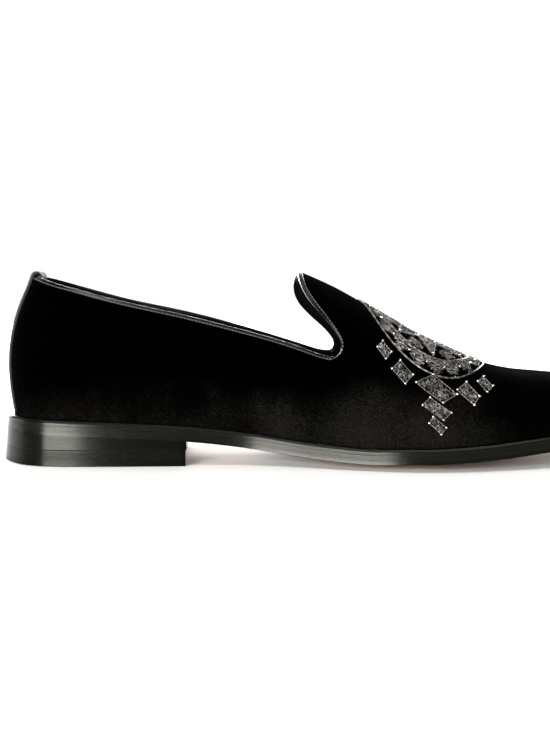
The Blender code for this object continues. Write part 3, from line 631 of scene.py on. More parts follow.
def upper_sheets():
    """Fine grids of the upper's outside and their normals: lower and vamp, outer side first. Where two
    grids meet they share the mean of their normals. The folds are pressed in along the normals."""
    lower, vamp, lower_normal, vamp_normal = [], [], [], []
    for side in (-1, 1):
        lower.append(lower_surface(side, PLACES, LOWER_CLIMB))
        lower_normal.append(normals_of(lower_surface, side, PLACES, LOWER_CLIMB, 0.0))
        vamp.append(vamp_surface(side, PLACES[THROAT:], VAMP_CLIMB))
        vamp_normal.append(normals_of(vamp_surface, side, PLACES[THROAT:], VAMP_CLIMB, float(THROAT_ROW)))
    for k in (0, 1):
        seam = lower_normal[k][THROAT:, -1] + vamp_normal[k][:, 0]
        seam[0] = lower_normal[k][THROAT, -1]
        lower_normal[k][THROAT:, -1] = vamp_normal[k][:, 0] = unit(seam)
    ridge = unit(vamp_normal[0][:, -1] + vamp_normal[1][:, -1])
    ridge[-1] = ridge[-2]
    for k in (0, 1):
        vamp_normal[k][:, -1] = ridge
    for grids, column in ((lower_normal, 0), (lower_normal, -1), (vamp_normal, -1)):
        shared = unit(grids[0][column] + grids[1][column])
        grids[0][column], grids[1][column] = shared, shared
    shares = np.interp(PLACES, np.arange(len(OUTER_SIDE)), [row[1] for row in OUTER_SIDE])
    for k in (0, 1):
        ripple = lasting_ripple(shares, LOWER_CLIMB)
        inward = fold_depth(lower[k]) * np.minimum(LOWER_CLIMB / 0.08, 1)[None] - ripple
        lower[k] = lower[k] - lower_normal[k] * inward[..., None]
        vamp[k] = vamp[k] - vamp_normal[k] * fold_depth(vamp[k])[..., None]
    return lower, vamp, lower_normal, vamp_normal


LOWER, VAMP, LOWER_NORMAL, VAMP_NORMAL = upper_sheets()


def shell(name, outside, inside, foot_lift, finish):
    """A closed shell between two depths under the upper's outside: two skins of four grids each, joined by
    rims at the foot, the collar and the tongue's edge. The foot stands a lift above the sole."""
    sheets = []
    for depth in (outside, inside):
        skin = [LOWER[k] - LOWER_NORMAL[k] * depth for k in (0, 1)]
        skin += [VAMP[k] - VAMP_NORMAL[k] * depth for k in (0, 1)]
        for k in (0, 1):
            skin[k][:, 0, 2] = underside(skin[k][:, 0, 0], np.ones(len(PLACES))) + foot_lift
            skin[k + 2][:, 0] = skin[k][THROAT:, -1]
        sheets += skin
    points = np.concatenate([grid.reshape(-1, 3) for grid in sheets])
    starts = np.cumsum([0] + [grid.shape[0] * grid.shape[1] for grid in sheets])
    faces = []
    for grid, start in zip(sheets, starts):
        faces += grid_faces(*grid.shape[:2], int(start))
    for k in range(4):
        number = np.arange(starts[k], starts[k + 1]).reshape(sheets[k].shape[:2])
        across = starts[k + 4] - starts[k]
        for line in [number[:, 0], number[: THROAT + 1, -1]] if k < 2 else [number[0]]:
            faces += quads(line[:-1], line[1:], line[1:] + across, line[:-1] + across)
    return add_piece(name, points, faces, finish)


VELVET_THICK = 0.0012
VELVET_TUCK = 0.0002
LINING_GAP = 0.00003


def velvet_finish():
    """Pile: painted bounce light lightens its colour toward the sole and fades out toward heel and toe,
    broken by the nap's patches, faint streaks and fine speckle.
    """
    finish, tree, shader = new_finish(
        "black velvet", Sheen_Weight=0.006, Sheen_Roughness=0.4, Specular_IOR_Level=0.0, Roughness=0.95
    )
    speckle, patches = noise(tree, 2000.0), noise(tree, 30.0, 4.0)
    streaks = noise(tree, 340.0, 3.0, (1.0, 1.0, 0.22))
    along, _, height = add_node(tree, "ShaderNodeSeparateXYZ", i0=object_place(tree)).outputs
    # Painted bounce light: below a height near the sole, shifted by the nap's patches, the pile's colour is
    # lightened.
    height = math_node(tree, height, math_node(tree, patches, 0.030), "SUBTRACT")
    painted_bounce_and_nap = math_node(tree, ranged(tree, height, -0.004, 0.024, 1.0, 0.0), 1.6, "POWER")
    # Columns: what scales the painted bounce light and the nap's tone, its range, the factors at its two
    # ends.
    factors = [
        (along, -0.060, -0.020, 0.6, 1.0),
        (along, 0.040, 0.075, 1.0, 0.08),
        (patches, 0.34, 0.68, 0.35, 1.45),
        (streaks, 0.34, 0.68, 0.85, 1.15),
        (speckle, 0.48, 0.68, 0.35, 3.0),
    ]
    for factor in factors:
        painted_bounce_and_nap = math_node(tree, painted_bounce_and_nap, ranged(tree, *factor))
    # The second colour is the brightest tone of the painted bounce light.
    colour = mix_colour(tree, painted_bounce_and_nap, (0.0001, 0.0001, 0.0001), (0.0082, 0.0077, 0.0067))
    tree.links.new(colour, shader.inputs["Base Color"])
    raise_by(tree, shader, math_node(tree, speckle, math_node(tree, streaks, 0.8), "ADD"), 0.7, 0.00015)
    return finish


velvet = shell("velvet_upper", 0.0, VELVET_THICK, UPPER_FOOT - VELVET_TUCK, velvet_finish())
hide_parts("upper")

# Upper lining. Thin black calf glued inside the velvet from the collar down to the sock, smooth and a
# little glossy where light falls into the shoe.
lining_leather = leather_finish(
    "lining calf", (0.0008, 0.0008, 0.0008), (0.0022, 0.0021, 0.0020), 0.50, 0.65, 1500, 0.00008, 0.08
)
lining = shell("calf_lining", VELVET_THICK + LINING_GAP, UPPER_WALL, UPPER_FOOT, lining_leather)
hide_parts("upper")

# Collar piping. A bias strip of black satin-finished calf folded over a cord and stitched to the edge of
# collar and tongue in one closed loop. Below the cord its folded, stitched lip lies on the velvet.

# Closed profile in millimetres. Columns: through the wall outward, away from the wall's edge.
PIPING_PROFILE = [
    (1.04, -0.34),
    (1.20, -0.38),
    (1.34, -0.22),
    (1.36, 0.00),
    (1.24, 0.20),
    (1.04, 0.34),
    (1.03, 0.52),
    (1.09, 0.80),
    (1.02, 1.14),
    (0.76, 1.42),
    (0.36, 1.51),
    (-0.12, 1.46),
    (-0.58, 1.30),
    (-0.92, 0.96),
    (-1.07, 0.50),
    (-1.12, 0.05),
    (-1.14, -0.32),
    (-1.04, -0.46),
    (-0.98, -0.12),
    (-0.50, 0.04),
    (0.50, 0.04),
    (0.98, -0.08),
]


def edge_loop():
    """The middle of the wall's edge all round the collar and tongue, with its ways: through the wall
    outward, and away from the edge = through x forward."""
    rim = [np.concatenate([LOWER[k][:THROAT, -1], VAMP[k][0]]) for k in (0, 1)]
    way = [np.concatenate([LOWER_NORMAL[k][:THROAT, -1], VAMP_NORMAL[k][0]]) for k in (0, 1)]
    rim = np.concatenate([rim[0], rim[1][1:-1][::-1]])
    through = unit(np.concatenate([way[0], way[1][1:-1][::-1]]))
    middle = rim - through * UPPER_WALL / 2
    for _ in range(4):
        middle = (np.roll(middle, 1, axis=0) + 4 * middle + np.roll(middle, -1, axis=0)) / 6
        through = unit(np.roll(through, 1, axis=0) + 2 * through + np.roll(through, -1, axis=0))
    forward = unit(np.roll(middle, -1, axis=0) - np.roll(middle, 1, axis=0))
    away = unit(np.cross(through, forward))
    return middle, unit(np.cross(forward, away)), away


EDGE_MIDDLE, EDGE_THROUGH, EDGE_AWAY = edge_loop()


def carried_ring(name, profile, path, through, away, finish, marks=None):
    """A closed profile carried round a closed path: path + through * first + away * second column."""
    ring = path[:, None] + through[:, None] * profile[None, :, :1] + away[:, None] * profile[None, :, 1:]
    columns, rows = ring.shape[:2]
    number = np.arange(columns * rows).reshape(columns, rows)
    ahead = np.roll(number, -1, axis=0)
    faces = quads(number, ahead, np.roll(ahead, -1, axis=1), np.roll(number, -1, axis=1))
    return add_piece(name, ring, faces, finish, marks)


profile_rows = np.array(PIPING_PROFILE + PIPING_PROFILE[:1]) * MM
piping_profile = curve(np.arange(len(profile_rows)), profile_rows, np.arange(40) / 2, closed=True)
piping_leather = leather_finish(
    "piping calf", (0.0010, 0.0010, 0.0009), (0.003, 0.003, 0.0026), 0.15, 0.25, 1900, 0.00008, 0.15
)
piping = carried_ring("collar_piping", piping_profile, EDGE_MIDDLE, EDGE_THROUGH, EDGE_AWAY, piping_leather)
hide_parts("topline_piping")


def laid_grains(name, lines, up, radius, finish, sides=5, marks=None):
    """Short threads or beads laid on a surface. Each row of lines is the middle line of one, and up its
    normals: ring = line + radius * sqrt(1 - (2t - 1)^4) * (cos * side + sin * up), t the share along it."""
    count, rings = lines.shape[:2]
    forward = unit(np.gradient(lines, axis=1))
    side = unit(np.cross(forward, up))
    over = unit(np.cross(side, forward))
    t = (np.arange(rings) + 0.35) / (rings - 0.3)
    swell = np.sqrt(1 - (2 * t - 1) ** 4)
    turn = (np.arange(sides) / sides * 2 * np.pi)[None, None, :, None]
    spoke = np.cos(turn) * side[:, :, None] + np.sin(turn) * over[:, :, None]
    ring = lines[:, :, None] + radius * swell[None, :, None, None] * spoke
    number = np.arange(count * rings * sides).reshape(count, rings, sides)
    after = np.roll(number, -1, axis=2)
    faces = quads(number[:, :-1], number[:, 1:], after[:, 1:], after[:, :-1])
    faces += number[:, 0, ::-1].tolist() + number[:, -1].tolist()
    if marks:
        marks = {mark: np.repeat(values, rings * sides) for mark, values in marks.items()}
    return add_piece(name, ring, faces, finish, marks, merge=1e-8)


# Collar stitching: one line of waxed black thread through the piping's lip, about six stitches to a cm.
STITCH_PITCH = 0.00165
STITCH_LENGTH = 0.00125
STITCH_DIP = 0.00012
STITCH_RADIUS = 0.00017
LIP_OUT = 0.00136
LIP_DOWN = 0.00004


def stitch_line(middle, through, dip, pitch, length):
    """Stitches along a path: places every pitch of its summed length, each stitch five points long and
    lower at its ends by dip * (2t - 1)^2."""
    along = summed_length(middle)
    starts = np.arange(pitch / 2, along[-1] - length, pitch)
    at = starts[:, None] + np.linspace(0, length, 5)[None]
    way = unit(read_at(at, along, through))
    return read_at(at, along, middle) - way * (np.linspace(-1, 1, 5) ** 2)[None, :, None] * dip, way


thread_finish, thread_tree, thread_shader = new_finish("waxed black thread", Roughness=0.38, Coat_Weight=0.2)
thread_tree.links.new(
    mix_colour(thread_tree, noise(thread_tree, 2500.0), (0.030, 0.030, 0.028), (0.130, 0.126, 0.118)),
    thread_shader.inputs["Base Color"],
)
lip_line = EDGE_MIDDLE + EDGE_THROUGH * LIP_OUT - EDGE_AWAY * LIP_DOWN
lip_line, lip_way = (np.concatenate([field, field[:1]]) for field in (lip_line, EDGE_THROUGH))
lines, ways = stitch_line(lip_line, lip_way, STITCH_DIP, STITCH_PITCH, STITCH_LENGTH)
collar_stitches = laid_grains("collar_stitching", lines, ways, STITCH_RADIUS, thread_finish)

# Back strip. A narrow strip of the same calf sewn over the back seam from the sole up, turned over the
# piping and down inside, with a line of stitches near each edge.
STRIP_THICK = 0.0011
STRIP_HALF_WIDTH = 0.0074
STRIP_INSIDE_LENGTH = 0.0060
STRIP_LIFT = 0.00004
SEWN_DIP = 0.0001
SEWN_PITCH = 0.0017
SEWN_LENGTH = 0.0012
SEWN_RADIUS = 0.00015
# Where it turns over the cord: the cord's middle past the wall's edge, and the reach from it to each side.
CORD_RISE = 0.00055
ROUND_OUTSIDE = 0.00155
ROUND_TOP = 0.00175
ROUND_INSIDE = 0.0015


def back_place(across, climb):
    """Points and normals of the outside of the back at given distances from the seam, each side by itself:
    the place along it is scaled by wanted / found width seven times over."""
    width, level = np.abs(across).ravel(), climb.ravel()[:, None]
    halves = []
    for side in (-1, 1):
        place = np.maximum(width, 1e-5) / 0.010
        for _ in range(7):
            found = side * lower_surface(side, place, level)[:, 0, 1]
            place = np.clip(place * np.maximum(width, 1e-5) / np.maximum(found, 1e-7), 0.0, 2.5)
        normal = normals_of(lower_surface, side, place, level, 0.0)[:, 0]
        halves.append(np.column_stack([lower_surface(side, place, level)[:, 0], normal]))
    both = np.where(across.ravel()[:, None] > 0, halves[1], halves[0]).reshape(*across.shape, 6)
    point, normal = both[..., :3], both[..., 3:]
    point[..., 1] = across
    normal[..., 1] = np.where(np.abs(across) < 1e-5, 0.0, normal[..., 1])
    return point, unit(normal)


strip_across = STRIP_HALF_WIDTH * np.sin(np.linspace(-1, 1, 19) * np.pi / 2)
strip_climb = np.linspace(0.0, 1.0, 46)
back_points, back_normals = back_place(*np.meshgrid(strip_across, strip_climb))
near_back = np.arange(-3 * COLUMNS_PER_SECTION, 3 * COLUMNS_PER_SECTION + 1)
over_place, over_away, over_through = (
    read_at(-strip_across, -EDGE_MIDDLE[near_back, 1], field[near_back])
    for field in (EDGE_MIDDLE, EDGE_AWAY, EDGE_THROUGH)
)
round_cord = np.radians(np.linspace(-18, 198, 19))[:, None, None]
round_way = over_through * np.cos(round_cord) + over_away * np.sin(round_cord)
round_reach = np.where(np.cos(round_cord) > 0, ROUND_OUTSIDE, ROUND_INSIDE) * np.cos(round_cord) ** 2
round_reach = round_reach + ROUND_TOP * np.sin(round_cord) ** 2
round_points = over_place + over_away * CORD_RISE + round_way * round_reach
drop = np.linspace(0.12, 1.0, 8)[:, None, None] * STRIP_INSIDE_LENGTH
down_points = round_points[-1] - over_away * drop
strip_base = np.concatenate([back_points[:-2], round_points, down_points])
strip_way = np.concatenate([back_normals[:-2], np.broadcast_to(round_way, round_points.shape)])
strip_way = np.concatenate([strip_way, np.broadcast_to(-over_through, down_points.shape)])
strip_way = unit(strip_way)
for _ in range(3):
    strip_base[1:-1] = (strip_base[:-2] + 2 * strip_base[1:-1] + strip_base[2:]) / 4
crown = (1 - np.abs(strip_across / STRIP_HALF_WIDTH) ** 6) ** 0.4
strip_top = strip_base + strip_way * (STRIP_LIFT + STRIP_THICK * (0.25 + 0.75 * crown))[None, :, None]
strip_low = strip_base + strip_way * STRIP_LIFT
strip_loop = np.concatenate([strip_top, strip_low[:, ::-1]], axis=1)
strip_faces = grid_faces(*strip_loop.shape[:2], tube=True)
strip_leather = leather_finish(
    "strip calf", (0.010, 0.010, 0.009), (0.022, 0.021, 0.019), 0.50, 0.65, 1700, 0.00006, 0.10
)
strip = add_piece("back_seam_strip", strip_loop, strip_faces, strip_leather)
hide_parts("back_strip")
sewn = []
for column in (3, -4):
    outside = strip_top[:-7, column], strip_way[:-7, column]
    sewn.append(stitch_line(*outside, SEWN_DIP, SEWN_PITCH, SEWN_LENGTH))
lines, ways = (np.concatenate(part) for part in zip(*sewn))
strip_stitches = laid_grains("strip_stitching", lines, ways, SEWN_RADIUS, thread_finish)

# Midsole and outsole. Two layers of bend leather cut to one outline, cemented and stitched together, their
# edges trimmed flush, waxed black and burnished. The outsole's face is left the colour of tanned leather.
JOINT = 0.00002
EDGE_FLARE = 0.085


def wear_group():
    """Edge wear: the rub mark times a noise times the amount."""
    group, given, result = new_group("edge wear", ["Rub", "Amount"], ["Share"])
    worn = math_node(group, given["Rub"], ranged(group, noise(group, 210.0, 5.0), 0.42, 0.66, 0.0, 1.0))
    group.links.new(math_node(group, worn, given["Amount"]), result["Share"])
    return group


EDGE_WEAR = wear_group()


def waxed_edge(name, dark, worn, rough_low, rough_high, wear, specular):
    """Waxed and burnished edge: level brush lines, a fine speckle in its roughness, wear on its corners."""
    finish, tree, shader = new_finish(name, Specular_IOR_Level=specular, Specular_Tint=(1.0, 1.0, 0.90, 1.0))
    lines, specks = noise(tree, 3800.0, 4.0, (0.02, 0.02, 1.0)), noise(tree, 1300.0)
    clouded = mix_colour(tree, noise(tree, 120.0, 4.0, (1.0, 1.0, 2.5)), dark, [1.7 * part for part in dark])
    rub = add_node(tree, "ShaderNodeAttribute", {"attribute_name": "rub"}).outputs["Fac"]
    share = add_node(tree, "ShaderNodeGroup", {"node_tree": EDGE_WEAR}, Rub=rub, Amount=wear).outputs[0]
    colour = mix_colour(tree, share, clouded, worn)
    tree.links.new(colour, shader.inputs["Base Color"])
    uneven = math_node(tree, math_node(tree, lines, 0.3), math_node(tree, specks, 0.7), "ADD")
    tree.links.new(ranged(tree, uneven, 0.36, 0.64, rough_low, rough_high), shader.inputs["Roughness"])
    raise_by(tree, shader, lines, 0.4, 0.00005)
    return finish, tree, shader, colour


# Columns: wax in the dark, worn colour, lowest and highest roughness, wear, specular level.
SOLE_WAX = ((0.0024, 0.0024, 0.0018), (0.020, 0.019, 0.016), 0.14, 0.24, 0.3, 0.145)
HEEL_WAX = ((0.0017, 0.0017, 0.0013), (0.018, 0.018, 0.015), 0.13, 0.20, 0.3, 0.11)
LIFT_WAX = ((0.0017, 0.0017, 0.0013), (0.022, 0.021, 0.017), 0.14, 0.25, 0.4, 0.085)
midsole = plate(
    "welted_midsole",
    (WHOLE_SIDE, WHOLE_SIDE),
    0.0,
    over_underside(OUTSOLE_THICK + JOINT),
    over_underside(OUTSOLE_THICK + LAYER_GAP + MIDSOLE_THICK),
    (0.00003, 0.0004),
    waxed_edge("waxed sole edge", *SOLE_WAX)[0],
    flares=(EDGE_FLARE * MIDSOLE_THICK, 0.0),
)
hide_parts("midsole")

sole_finish, sole_tree, sole_shader, edge_colour = waxed_edge("outsole leather", *SOLE_WAX)
facing = sole_tree.nodes.new("ShaderNodeNewGeometry").outputs["Normal"]
facing_up = add_node(sole_tree, "ShaderNodeSeparateXYZ", i0=facing).outputs["Z"]
tread_share = ranged(sole_tree, facing_up, -0.985, -0.995, 0.0, 1.0)
tread_blotch = noise(sole_tree, 70.0, 5.0, (1.0, 2.0, 1.0))
tan = mix_colour(sole_tree, tread_blotch, (0.42, 0.25, 0.11), (0.60, 0.40, 0.21))
sole_tree.links.new(mix_colour(sole_tree, tread_share, edge_colour, tan), sole_shader.inputs["Base Color"])
outsole = plate(
    "leather_outsole",
    (WHOLE_SIDE, WHOLE_SIDE),
    0.0,
    over_underside(0.0),
    over_underside(OUTSOLE_THICK),
    (0.00015, 0.00003),
    sole_finish,
    flares=(EDGE_FLARE * (MIDSOLE_THICK + OUTSOLE_THICK), EDGE_FLARE * MIDSOLE_THICK),
)
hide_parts("outsole")

# Heel. A stack of leather lifts pegged and glued under the seat of the sole, trimmed with it and waxed
# black; the last lift, which meets the floor, is a separate harder piece with a fine groove over it.
HEEL_LENGTHS = (0.083, 0.0795)
HEEL_BREAST_HOLLOW = 0.002
TOPLIFT_THICK = 0.0069
SEAT_OVERLAP = 0.00015
LIFT_TOP_FLARE = EDGE_FLARE * (MIDSOLE_THICK + OUTSOLE_THICK + HEEL_PITCH - TOPLIFT_THICK)
heel_shares = []
for side, length in zip((-1, 1), HEEL_LENGTHS):
    line, _, along = SIDE_LINES[side]
    heel_shares.append(np.linspace(0, 1, 61) ** 1.3 * np.interp(length, line[:300, 0], along[:300]))
heel_stack = plate(
    "heel_stack",
    heel_shares,
    0.0,
    lambda x, across: np.full_like(x, TOPLIFT_THICK + JOINT),
    over_underside(SEAT_OVERLAP),
    (0.00006, 0.00003),
    waxed_edge("waxed heel stack", *HEEL_WAX)[0],
    HEEL_BREAST_HOLLOW,
    (LIFT_TOP_FLARE, EDGE_FLARE * (MIDSOLE_THICK + OUTSOLE_THICK)),
)
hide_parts("heel_block")
heel_lift = plate(
    "heel_top_lift",
    heel_shares,
    0.0,
    lambda x, across: np.zeros_like(x),
    lambda x, across: np.full_like(x, TOPLIFT_THICK),
    (0.0002, 0.00004),
    waxed_edge("waxed top lift", *LIFT_WAX)[0],
    HEEL_BREAST_HOLLOW,
    (LIFT_TOP_FLARE + EDGE_FLARE * TOPLIFT_THICK, LIFT_TOP_FLARE),
)
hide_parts("heel_toplift")

# Vamp embroidery. Silver-grey metal thread sewn down in short curled lengths over the instep, with small
# glass beads, in a plain geometric ornament: a star in a toothed ring, with diamonds down each side.
STAR_CENTRE = 0.188
STRETCH = 1.68
THREAD_PITCH = 0.80
THREAD_RADIUS = 0.00019
BEHIND_RIDGE = 86

# Diamonds, in mm. Columns: ahead of the star's centre, away from the ridge, half length, half width.
DIAMONDS = [
    (-2.0, 54.5, 9.0, 7.0),
    (-7.0, 66.0, 6.0, 5.4),
    (-11.0, 75.0, 3.6, 4.0),
    (12.5, 52.0, 4.8, 5.8),
    (-16.5, 51.0, 4.8, 5.8),
    (21.5, 43.5, 3.4, 4.8),
    (-23.5, 42.0, 3.4, 4.8),
]
STAR_TIP = 20.6
STAR_NOTCH = 10.5


def vamp_sheet():
    """The upper ahead of the throat as one sheet in its own measure: columns at places, rows at every half
    millimetre of distance from the ridge, outer side negative. Gives ridge lengths, places and normals."""
    reach = np.arange(0, BEHIND_RIDGE * 2 + 1) / 2000
    halves = []
    for k in (0, 1):
        place = np.concatenate([VAMP[k][:, ::-1], LOWER[k][THROAT:, -2::-1]], axis=1)
        normal = np.concatenate([VAMP_NORMAL[k][:, ::-1], LOWER_NORMAL[k][THROAT:, -2::-1]], axis=1)
        columns = zip(place, np.concatenate([place, normal], axis=2))
        halves.append(np.stack([read_at(reach, summed_length(points), fields) for points, fields in columns]))
    return VAMP[0][:, -1, 0], np.concatenate([halves[0][:, :0:-1], halves[1]], axis=1)


RIDGE_LENGTHS, VAMP_SHEET = vamp_sheet()


def on_vamp(length, across):
    """Place and normal on the sheet at a length along the ridge and across it, between four neighbours."""
    column = np.interp(length, RIDGE_LENGTHS, np.arange(len(RIDGE_LENGTHS)))
    row = np.clip(across * 2000 + BEHIND_RIDGE * 2, 0, VAMP_SHEET.shape[1] - 1.001)
    first, low = np.minimum(column.astype(int), len(RIDGE_LENGTHS) - 2), row.astype(int)
    p, q = (column - first)[..., None], (row - low)[..., None]
    near = VAMP_SHEET[first, low] * (1 - q) + VAMP_SHEET[first, low + 1] * q
    far = VAMP_SHEET[first + 1, low] * (1 - q) + VAMP_SHEET[first + 1, low + 1] * q
    both = near * (1 - p) + far * p
    return both[..., :3], unit(both[..., 3:])


def ornament(a, b):
    """Whether a motif holds the point a ahead of the centre and b across, in mm, and the way its threads
    run. The radius is sqrt(a^2 + (b/stretch)^2). The star's edge falls from tip to notch between its arms;
    a disc and a toothed ring lie round the centre; a diamond is where
    |a|/half length + |b|/half width < 0.86, from its own middle."""
    radius = np.hypot(a, b / STRETCH)
    angle = np.arctan2(b / STRETCH, a)
    off_arm = np.abs(((angle / (np.pi / 4) + 0.5) % 1) - 0.5) * 2
    star = (radius < STAR_NOTCH - 0.8 + (STAR_TIP - STAR_NOTCH) * (1 - off_arm)) & (radius > 6.2)
    disc = (radius < 5.2) | ((radius > 15.5) & (radius < 20.2) & (off_arm > 0.62))
    tooth = np.abs(((angle * 20 / (2 * np.pi)) % 1) - 0.5) * 2
    ring = (radius > 21.8) & (radius < 23.2 + 4.6 * tooth**0.6)
    held = star | disc | ring
    way = np.where(disc | ring, angle + np.pi / 2, angle + 0.5 * np.sign(off_arm - 0.5))
    for ahead, away, half_length, half_width in DIAMONDS:
        reach = np.abs(a - ahead) / half_length + np.abs(np.abs(b) - away) / half_width
        inside = reach < 0.86
        held = held | inside
        way = np.where(inside, np.pi / 2 + 0.6 * np.sign((a - ahead) * (np.abs(b) - away)), way)
    return held, way


def outline_threads(corners):
    """Threads end to end along a closed outline: a middle every 1.3 mm and the way the line runs there."""
    closed = np.concatenate([corners, corners[:1]])
    along = summed_length(closed)
    at = np.arange(0.65, along[-1] - 0.3, 1.3)
    before, after = (read_at(at + off, along, closed).T for off in (-0.3, 0.3))
    return np.concatenate([(before + after) / 2, np.arctan2(after[1:] - before[1:], after[:1] - before[:1])])


def over_vamp(a, b):
    """Place and normal on the sheet for a point a ahead of the star's centre and b across, in mm."""
    return on_vamp(STAR_CENTRE + a * MM, b * MM)


def stretched_ring(radius, angle):
    """Points at angles round the centre, in mm, drawn out across the vamp by the stretch."""
    return np.column_stack([radius * np.cos(angle), radius * STRETCH * np.sin(angle)])


rng = np.random.default_rng(11)
spots = np.meshgrid(np.arange(-30, 30, THREAD_PITCH), np.arange(-80, 80, THREAD_PITCH), indexing="ij")
fill_a, fill_b = ((part + rng.uniform(-0.36, 0.36, part.shape)).ravel() for part in spots)
held, fill_way = ornament(fill_a, fill_b)
fill = np.stack([fill_a, fill_b, fill_way + rng.normal(0, 0.5, len(fill_way))])[:, held]
star_edge = stretched_ring(np.tile([STAR_TIP, STAR_NOTCH], 8), np.arange(16) / 16 * 2 * np.pi)
outlines = [star_edge]
for ahead, away, long, wide in DIAMONDS:
    for side in (-1, 1):
        outlines.append(np.array([ahead, side * away]) + [(long, 0), (0, wide), (-long, 0), (0, -wide)])
edging = np.concatenate([outline_threads(corners) for corners in outlines], axis=1)
thread_a, thread_b, thread_way = np.concatenate([fill, edging], axis=1)
is_edging = np.arange(len(thread_a)) >= fill.shape[1]
half_length = np.where(is_edging, 0.62, rng.uniform(0.6, 1.1, len(thread_way)))
t = np.linspace(-1, 1, 5)[None]
bow = np.where(is_edging, 0.0, rng.normal(0, 0.38, len(thread_way)))[:, None] * (1 - t**2)
run, cosine, sine = half_length[:, None] * t, np.cos(thread_way)[:, None], np.sin(thread_way)[:, None]
line_a = thread_a[:, None] + cosine * run - sine * bow
line_b = thread_b[:, None] + sine * run + cosine * bow
place, normal = over_vamp(line_a, line_b)
layer = np.where(is_edging, 0.45, rng.uniform(0.05, 0.5, len(thread_way)))[:, None]
place = place + normal * ((layer + 0.25 * (1 - t**2)) * MM)[..., None]
shade = np.clip(rng.gamma(0.9, 0.34, len(thread_way)), 0.02, 1.0)
shade = np.where(is_edging, 0.45 + 0.5 * shade, shade)


def metal_thread(name, dark, light, roughness):
    """Metal thread: each length has its own shade, and a fine twist in its bump."""
    finish, tree, shader = new_finish(name, Metallic=0.85, Roughness=roughness)
    mark = add_node(tree, "ShaderNodeAttribute", {"attribute_name": "shade"}).outputs["Fac"]
    twist = noise(tree, 5200.0)
    flecked = math_node(tree, mark, ranged(tree, twist, 0.3, 0.7, 0.45, 1.45))
    tree.links.new(mix_colour(tree, flecked, dark, light), shader.inputs["Base Color"])
    raise_by(tree, shader, twist, 0.8, 0.00012)
    return finish


silver_thread = metal_thread("silver-grey metal thread", (0.016, 0.015, 0.014), (0.52, 0.49, 0.46), 0.32)
embroidery = laid_grains("vamp_embroidery", place, normal, THREAD_RADIUS, silver_thread, 4, {"shade": shade})

# Beads: small glass beads with a silver lining, one at each corner of the star and the diamonds and one at
# each tooth of the ring.
BEAD_RADIUS = 0.00052
BEAD_LIFT = 0.0008
BEAD_RING = 24.6
ring_beads = stretched_ring(BEAD_RING, np.arange(20) / 20 * 2 * np.pi + np.pi / 20)
bead_a, bead_b = np.concatenate([ring_beads, star_edge * 0.94, *outlines[1:]]).T[..., None]
bead_place, bead_up = over_vamp(bead_a + np.linspace(-0.5, 0.5, 5), np.broadcast_to(bead_b, (len(bead_b), 5)))
bead_place = bead_place + bead_up * BEAD_LIFT
bead_finish, _, _ = new_finish(
    "silver-lined glass", Metallic=1.0, Roughness=0.12, Base_Color=(0.75, 0.73, 0.70, 1.0)
)
beads = laid_grains("vamp_beads", bead_place, bead_up, BEAD_RADIUS, bead_finish, sides=6)

# Ring cords: two twisted cords of the same metal thread, couched down inside and outside the toothed ring.
CORD_RADIUS = 0.00036
CORD_SIDES = np.linspace(0, 2 * np.pi, 8, endpoint=False)
cord_profile = CORD_RADIUS * np.column_stack([np.cos(CORD_SIDES), np.sin(CORD_SIDES)])
round_angle = np.linspace(0, 2 * np.pi, 420, endpoint=False)
cord_shade = {"shade": np.repeat(0.34 + 0.22 * np.sin(round_angle * 60), len(CORD_SIDES))}
for cord_name, ring_radius in (("inner_ring_cord", 21.3), ("outer_ring_cord", 28.0)):
    cord_path, cord_up = over_vamp(*stretched_ring(ring_radius, round_angle).T)
    cord_path = cord_path + cord_up * CORD_RADIUS * 0.9
    cord_forward = unit(np.roll(cord_path, -1, axis=0) - np.roll(cord_path, 1, axis=0))
    cord_side = unit(np.cross(cord_forward, cord_up))
    ring = carried_ring(cord_name, cord_profile, cord_path, cord_side, cord_up, silver_thread, cord_shade)

# Floor, light and camera. A seamless pale sheet, a soft box at the left front, a weaker one overhead, two
# low ones behind, one on the backdrop, and the photograph's view, square to the shoe's outer side.
FLOOR_HALF_WIDTH = 1.0
FLOOR_FRONT = -0.9
FLOOR_MIDDLE = 0.5
CURVE_STARTS = 1.6
CURVE_RADIUS = 0.8
WALL_TOP = 3.0
FILL_STRENGTH = 0.18
floor_finish, _, _ = new_finish(
    "pale floor", Roughness=0.7, Specular_IOR_Level=0.2, Base_Color=(0.89, 0.875, 0.85, 1.0)
)
sweep = np.linspace(0, np.pi / 2, 12)
curve_y, curve_z = CURVE_STARTS + CURVE_RADIUS * np.sin(sweep), CURVE_RADIUS * (1 - np.cos(sweep))
profile_y = np.concatenate([[FLOOR_FRONT, FLOOR_MIDDLE], curve_y, curve_y[-1:]])
profile_z = np.concatenate([[0.0, 0.0], curve_z, [WALL_TOP]])
edge_x = np.array([[-FLOOR_HALF_WIDTH], [FLOOR_HALF_WIDTH]])
sheet = np.stack(np.broadcast_arrays(edge_x, profile_y[None], profile_z[None]), axis=2)
floor_mesh = bpy.data.meshes.new("studio_floor")
floor_mesh.from_pydata(sheet.reshape(-1, 3).tolist(), [], grid_faces(2, len(profile_y)))
floor_mesh.materials.append(floor_finish)
floor_mesh.polygons.foreach_set("use_smooth", [True] * len(floor_mesh.polygons))
studio_floor = bpy.data.objects.new("studio_floor", floor_mesh)
bpy.context.collection.objects.link(studio_floor)

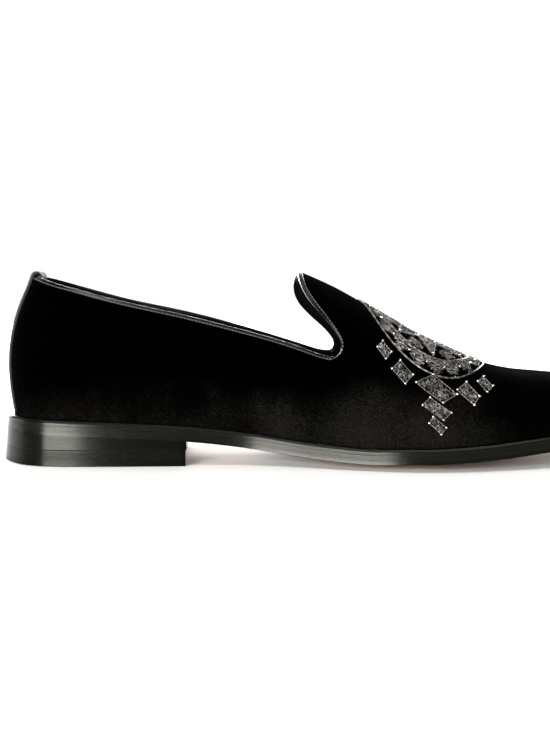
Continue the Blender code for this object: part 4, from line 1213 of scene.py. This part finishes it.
# Area lights. Columns: name, place, aim, width, height, power in watts, whether the camera sees it.
SOFT_BOXES = [
    ("left soft box", (-0.66, -1.14, 0.26), (-0.08, 0.0, 0.02), 0.56, 0.5, 31.0, True),
    ("top soft box", (0.0, -0.1, 1.9), (0.0, 0.0, 0.0), 1.8, 1.6, 30.0, True),
    ("low back soft box", (0.05, 1.30, 0.30), (0.0, 0.0, 0.0), 2.2, 0.5, 50.0, False),
    ("left side soft box", (-1.55, 0.55, 0.45), (-0.12, 0.0, 0.04), 0.8, 0.8, 5.0, False),
    ("backdrop light", (0.0, 0.9, 1.6), (0.0, 2.2, 0.6), 2.4, 0.8, 27.0, True),
]
for light_name, light_place, aim, width, height, power, seen in SOFT_BOXES:
    lamp = bpy.data.lights.new(light_name, "AREA")
    lamp.shape = "RECTANGLE"
    lamp.size, lamp.size_y, lamp.energy = width, height, power
    holder = bpy.data.objects.new(light_name, lamp)
    bpy.context.collection.objects.link(holder)
    holder.location = light_place
    way = np.array(aim) - np.array(light_place)
    pitch = np.arctan2(np.hypot(way[0], way[1]), -way[2])
    holder.rotation_euler = (pitch, 0.0, np.arctan2(way[1], way[0]) - np.pi / 2)
    holder.visible_camera = seen

# The world is white to the camera and lights the shoe with its fill strength.
world = bpy.data.worlds.new("studio")
world.use_nodes = True
world_tree = world.node_tree
background = world_tree.nodes["Background"].inputs
to_camera = world_tree.nodes.new("ShaderNodeLightPath").outputs["Is Camera Ray"]
background["Color"].default_value = (1.0, 1.0, 1.0, 1.0)
world_tree.links.new(ranged(world_tree, to_camera, 0.0, 1.0, FILL_STRENGTH, 1.0), background["Strength"])
bpy.context.scene.world = world
bpy.context.scene.view_settings.view_transform = "Standard"

# Camera: its place in metres, its lens and sensor in millimetres, its turns in degrees.
EYE = (-0.02775, -0.5591, 0.086)
LENS = 60.3
SENSOR = 36.0
LOOKS_DOWN = 4.63
ROLL = 0.25
camera = bpy.data.cameras.new("camera")
camera.sensor_width = SENSOR
camera.lens = LENS
camera.clip_start = 0.01
eye = bpy.data.objects.new("camera", camera)
bpy.context.collection.objects.link(eye)
eye.location = EYE
eye.rotation_euler = (np.radians(90 - LOOKS_DOWN), np.radians(ROLL), 0.0)
bpy.context.scene.camera = eye

bpy.context.view_layer.update()
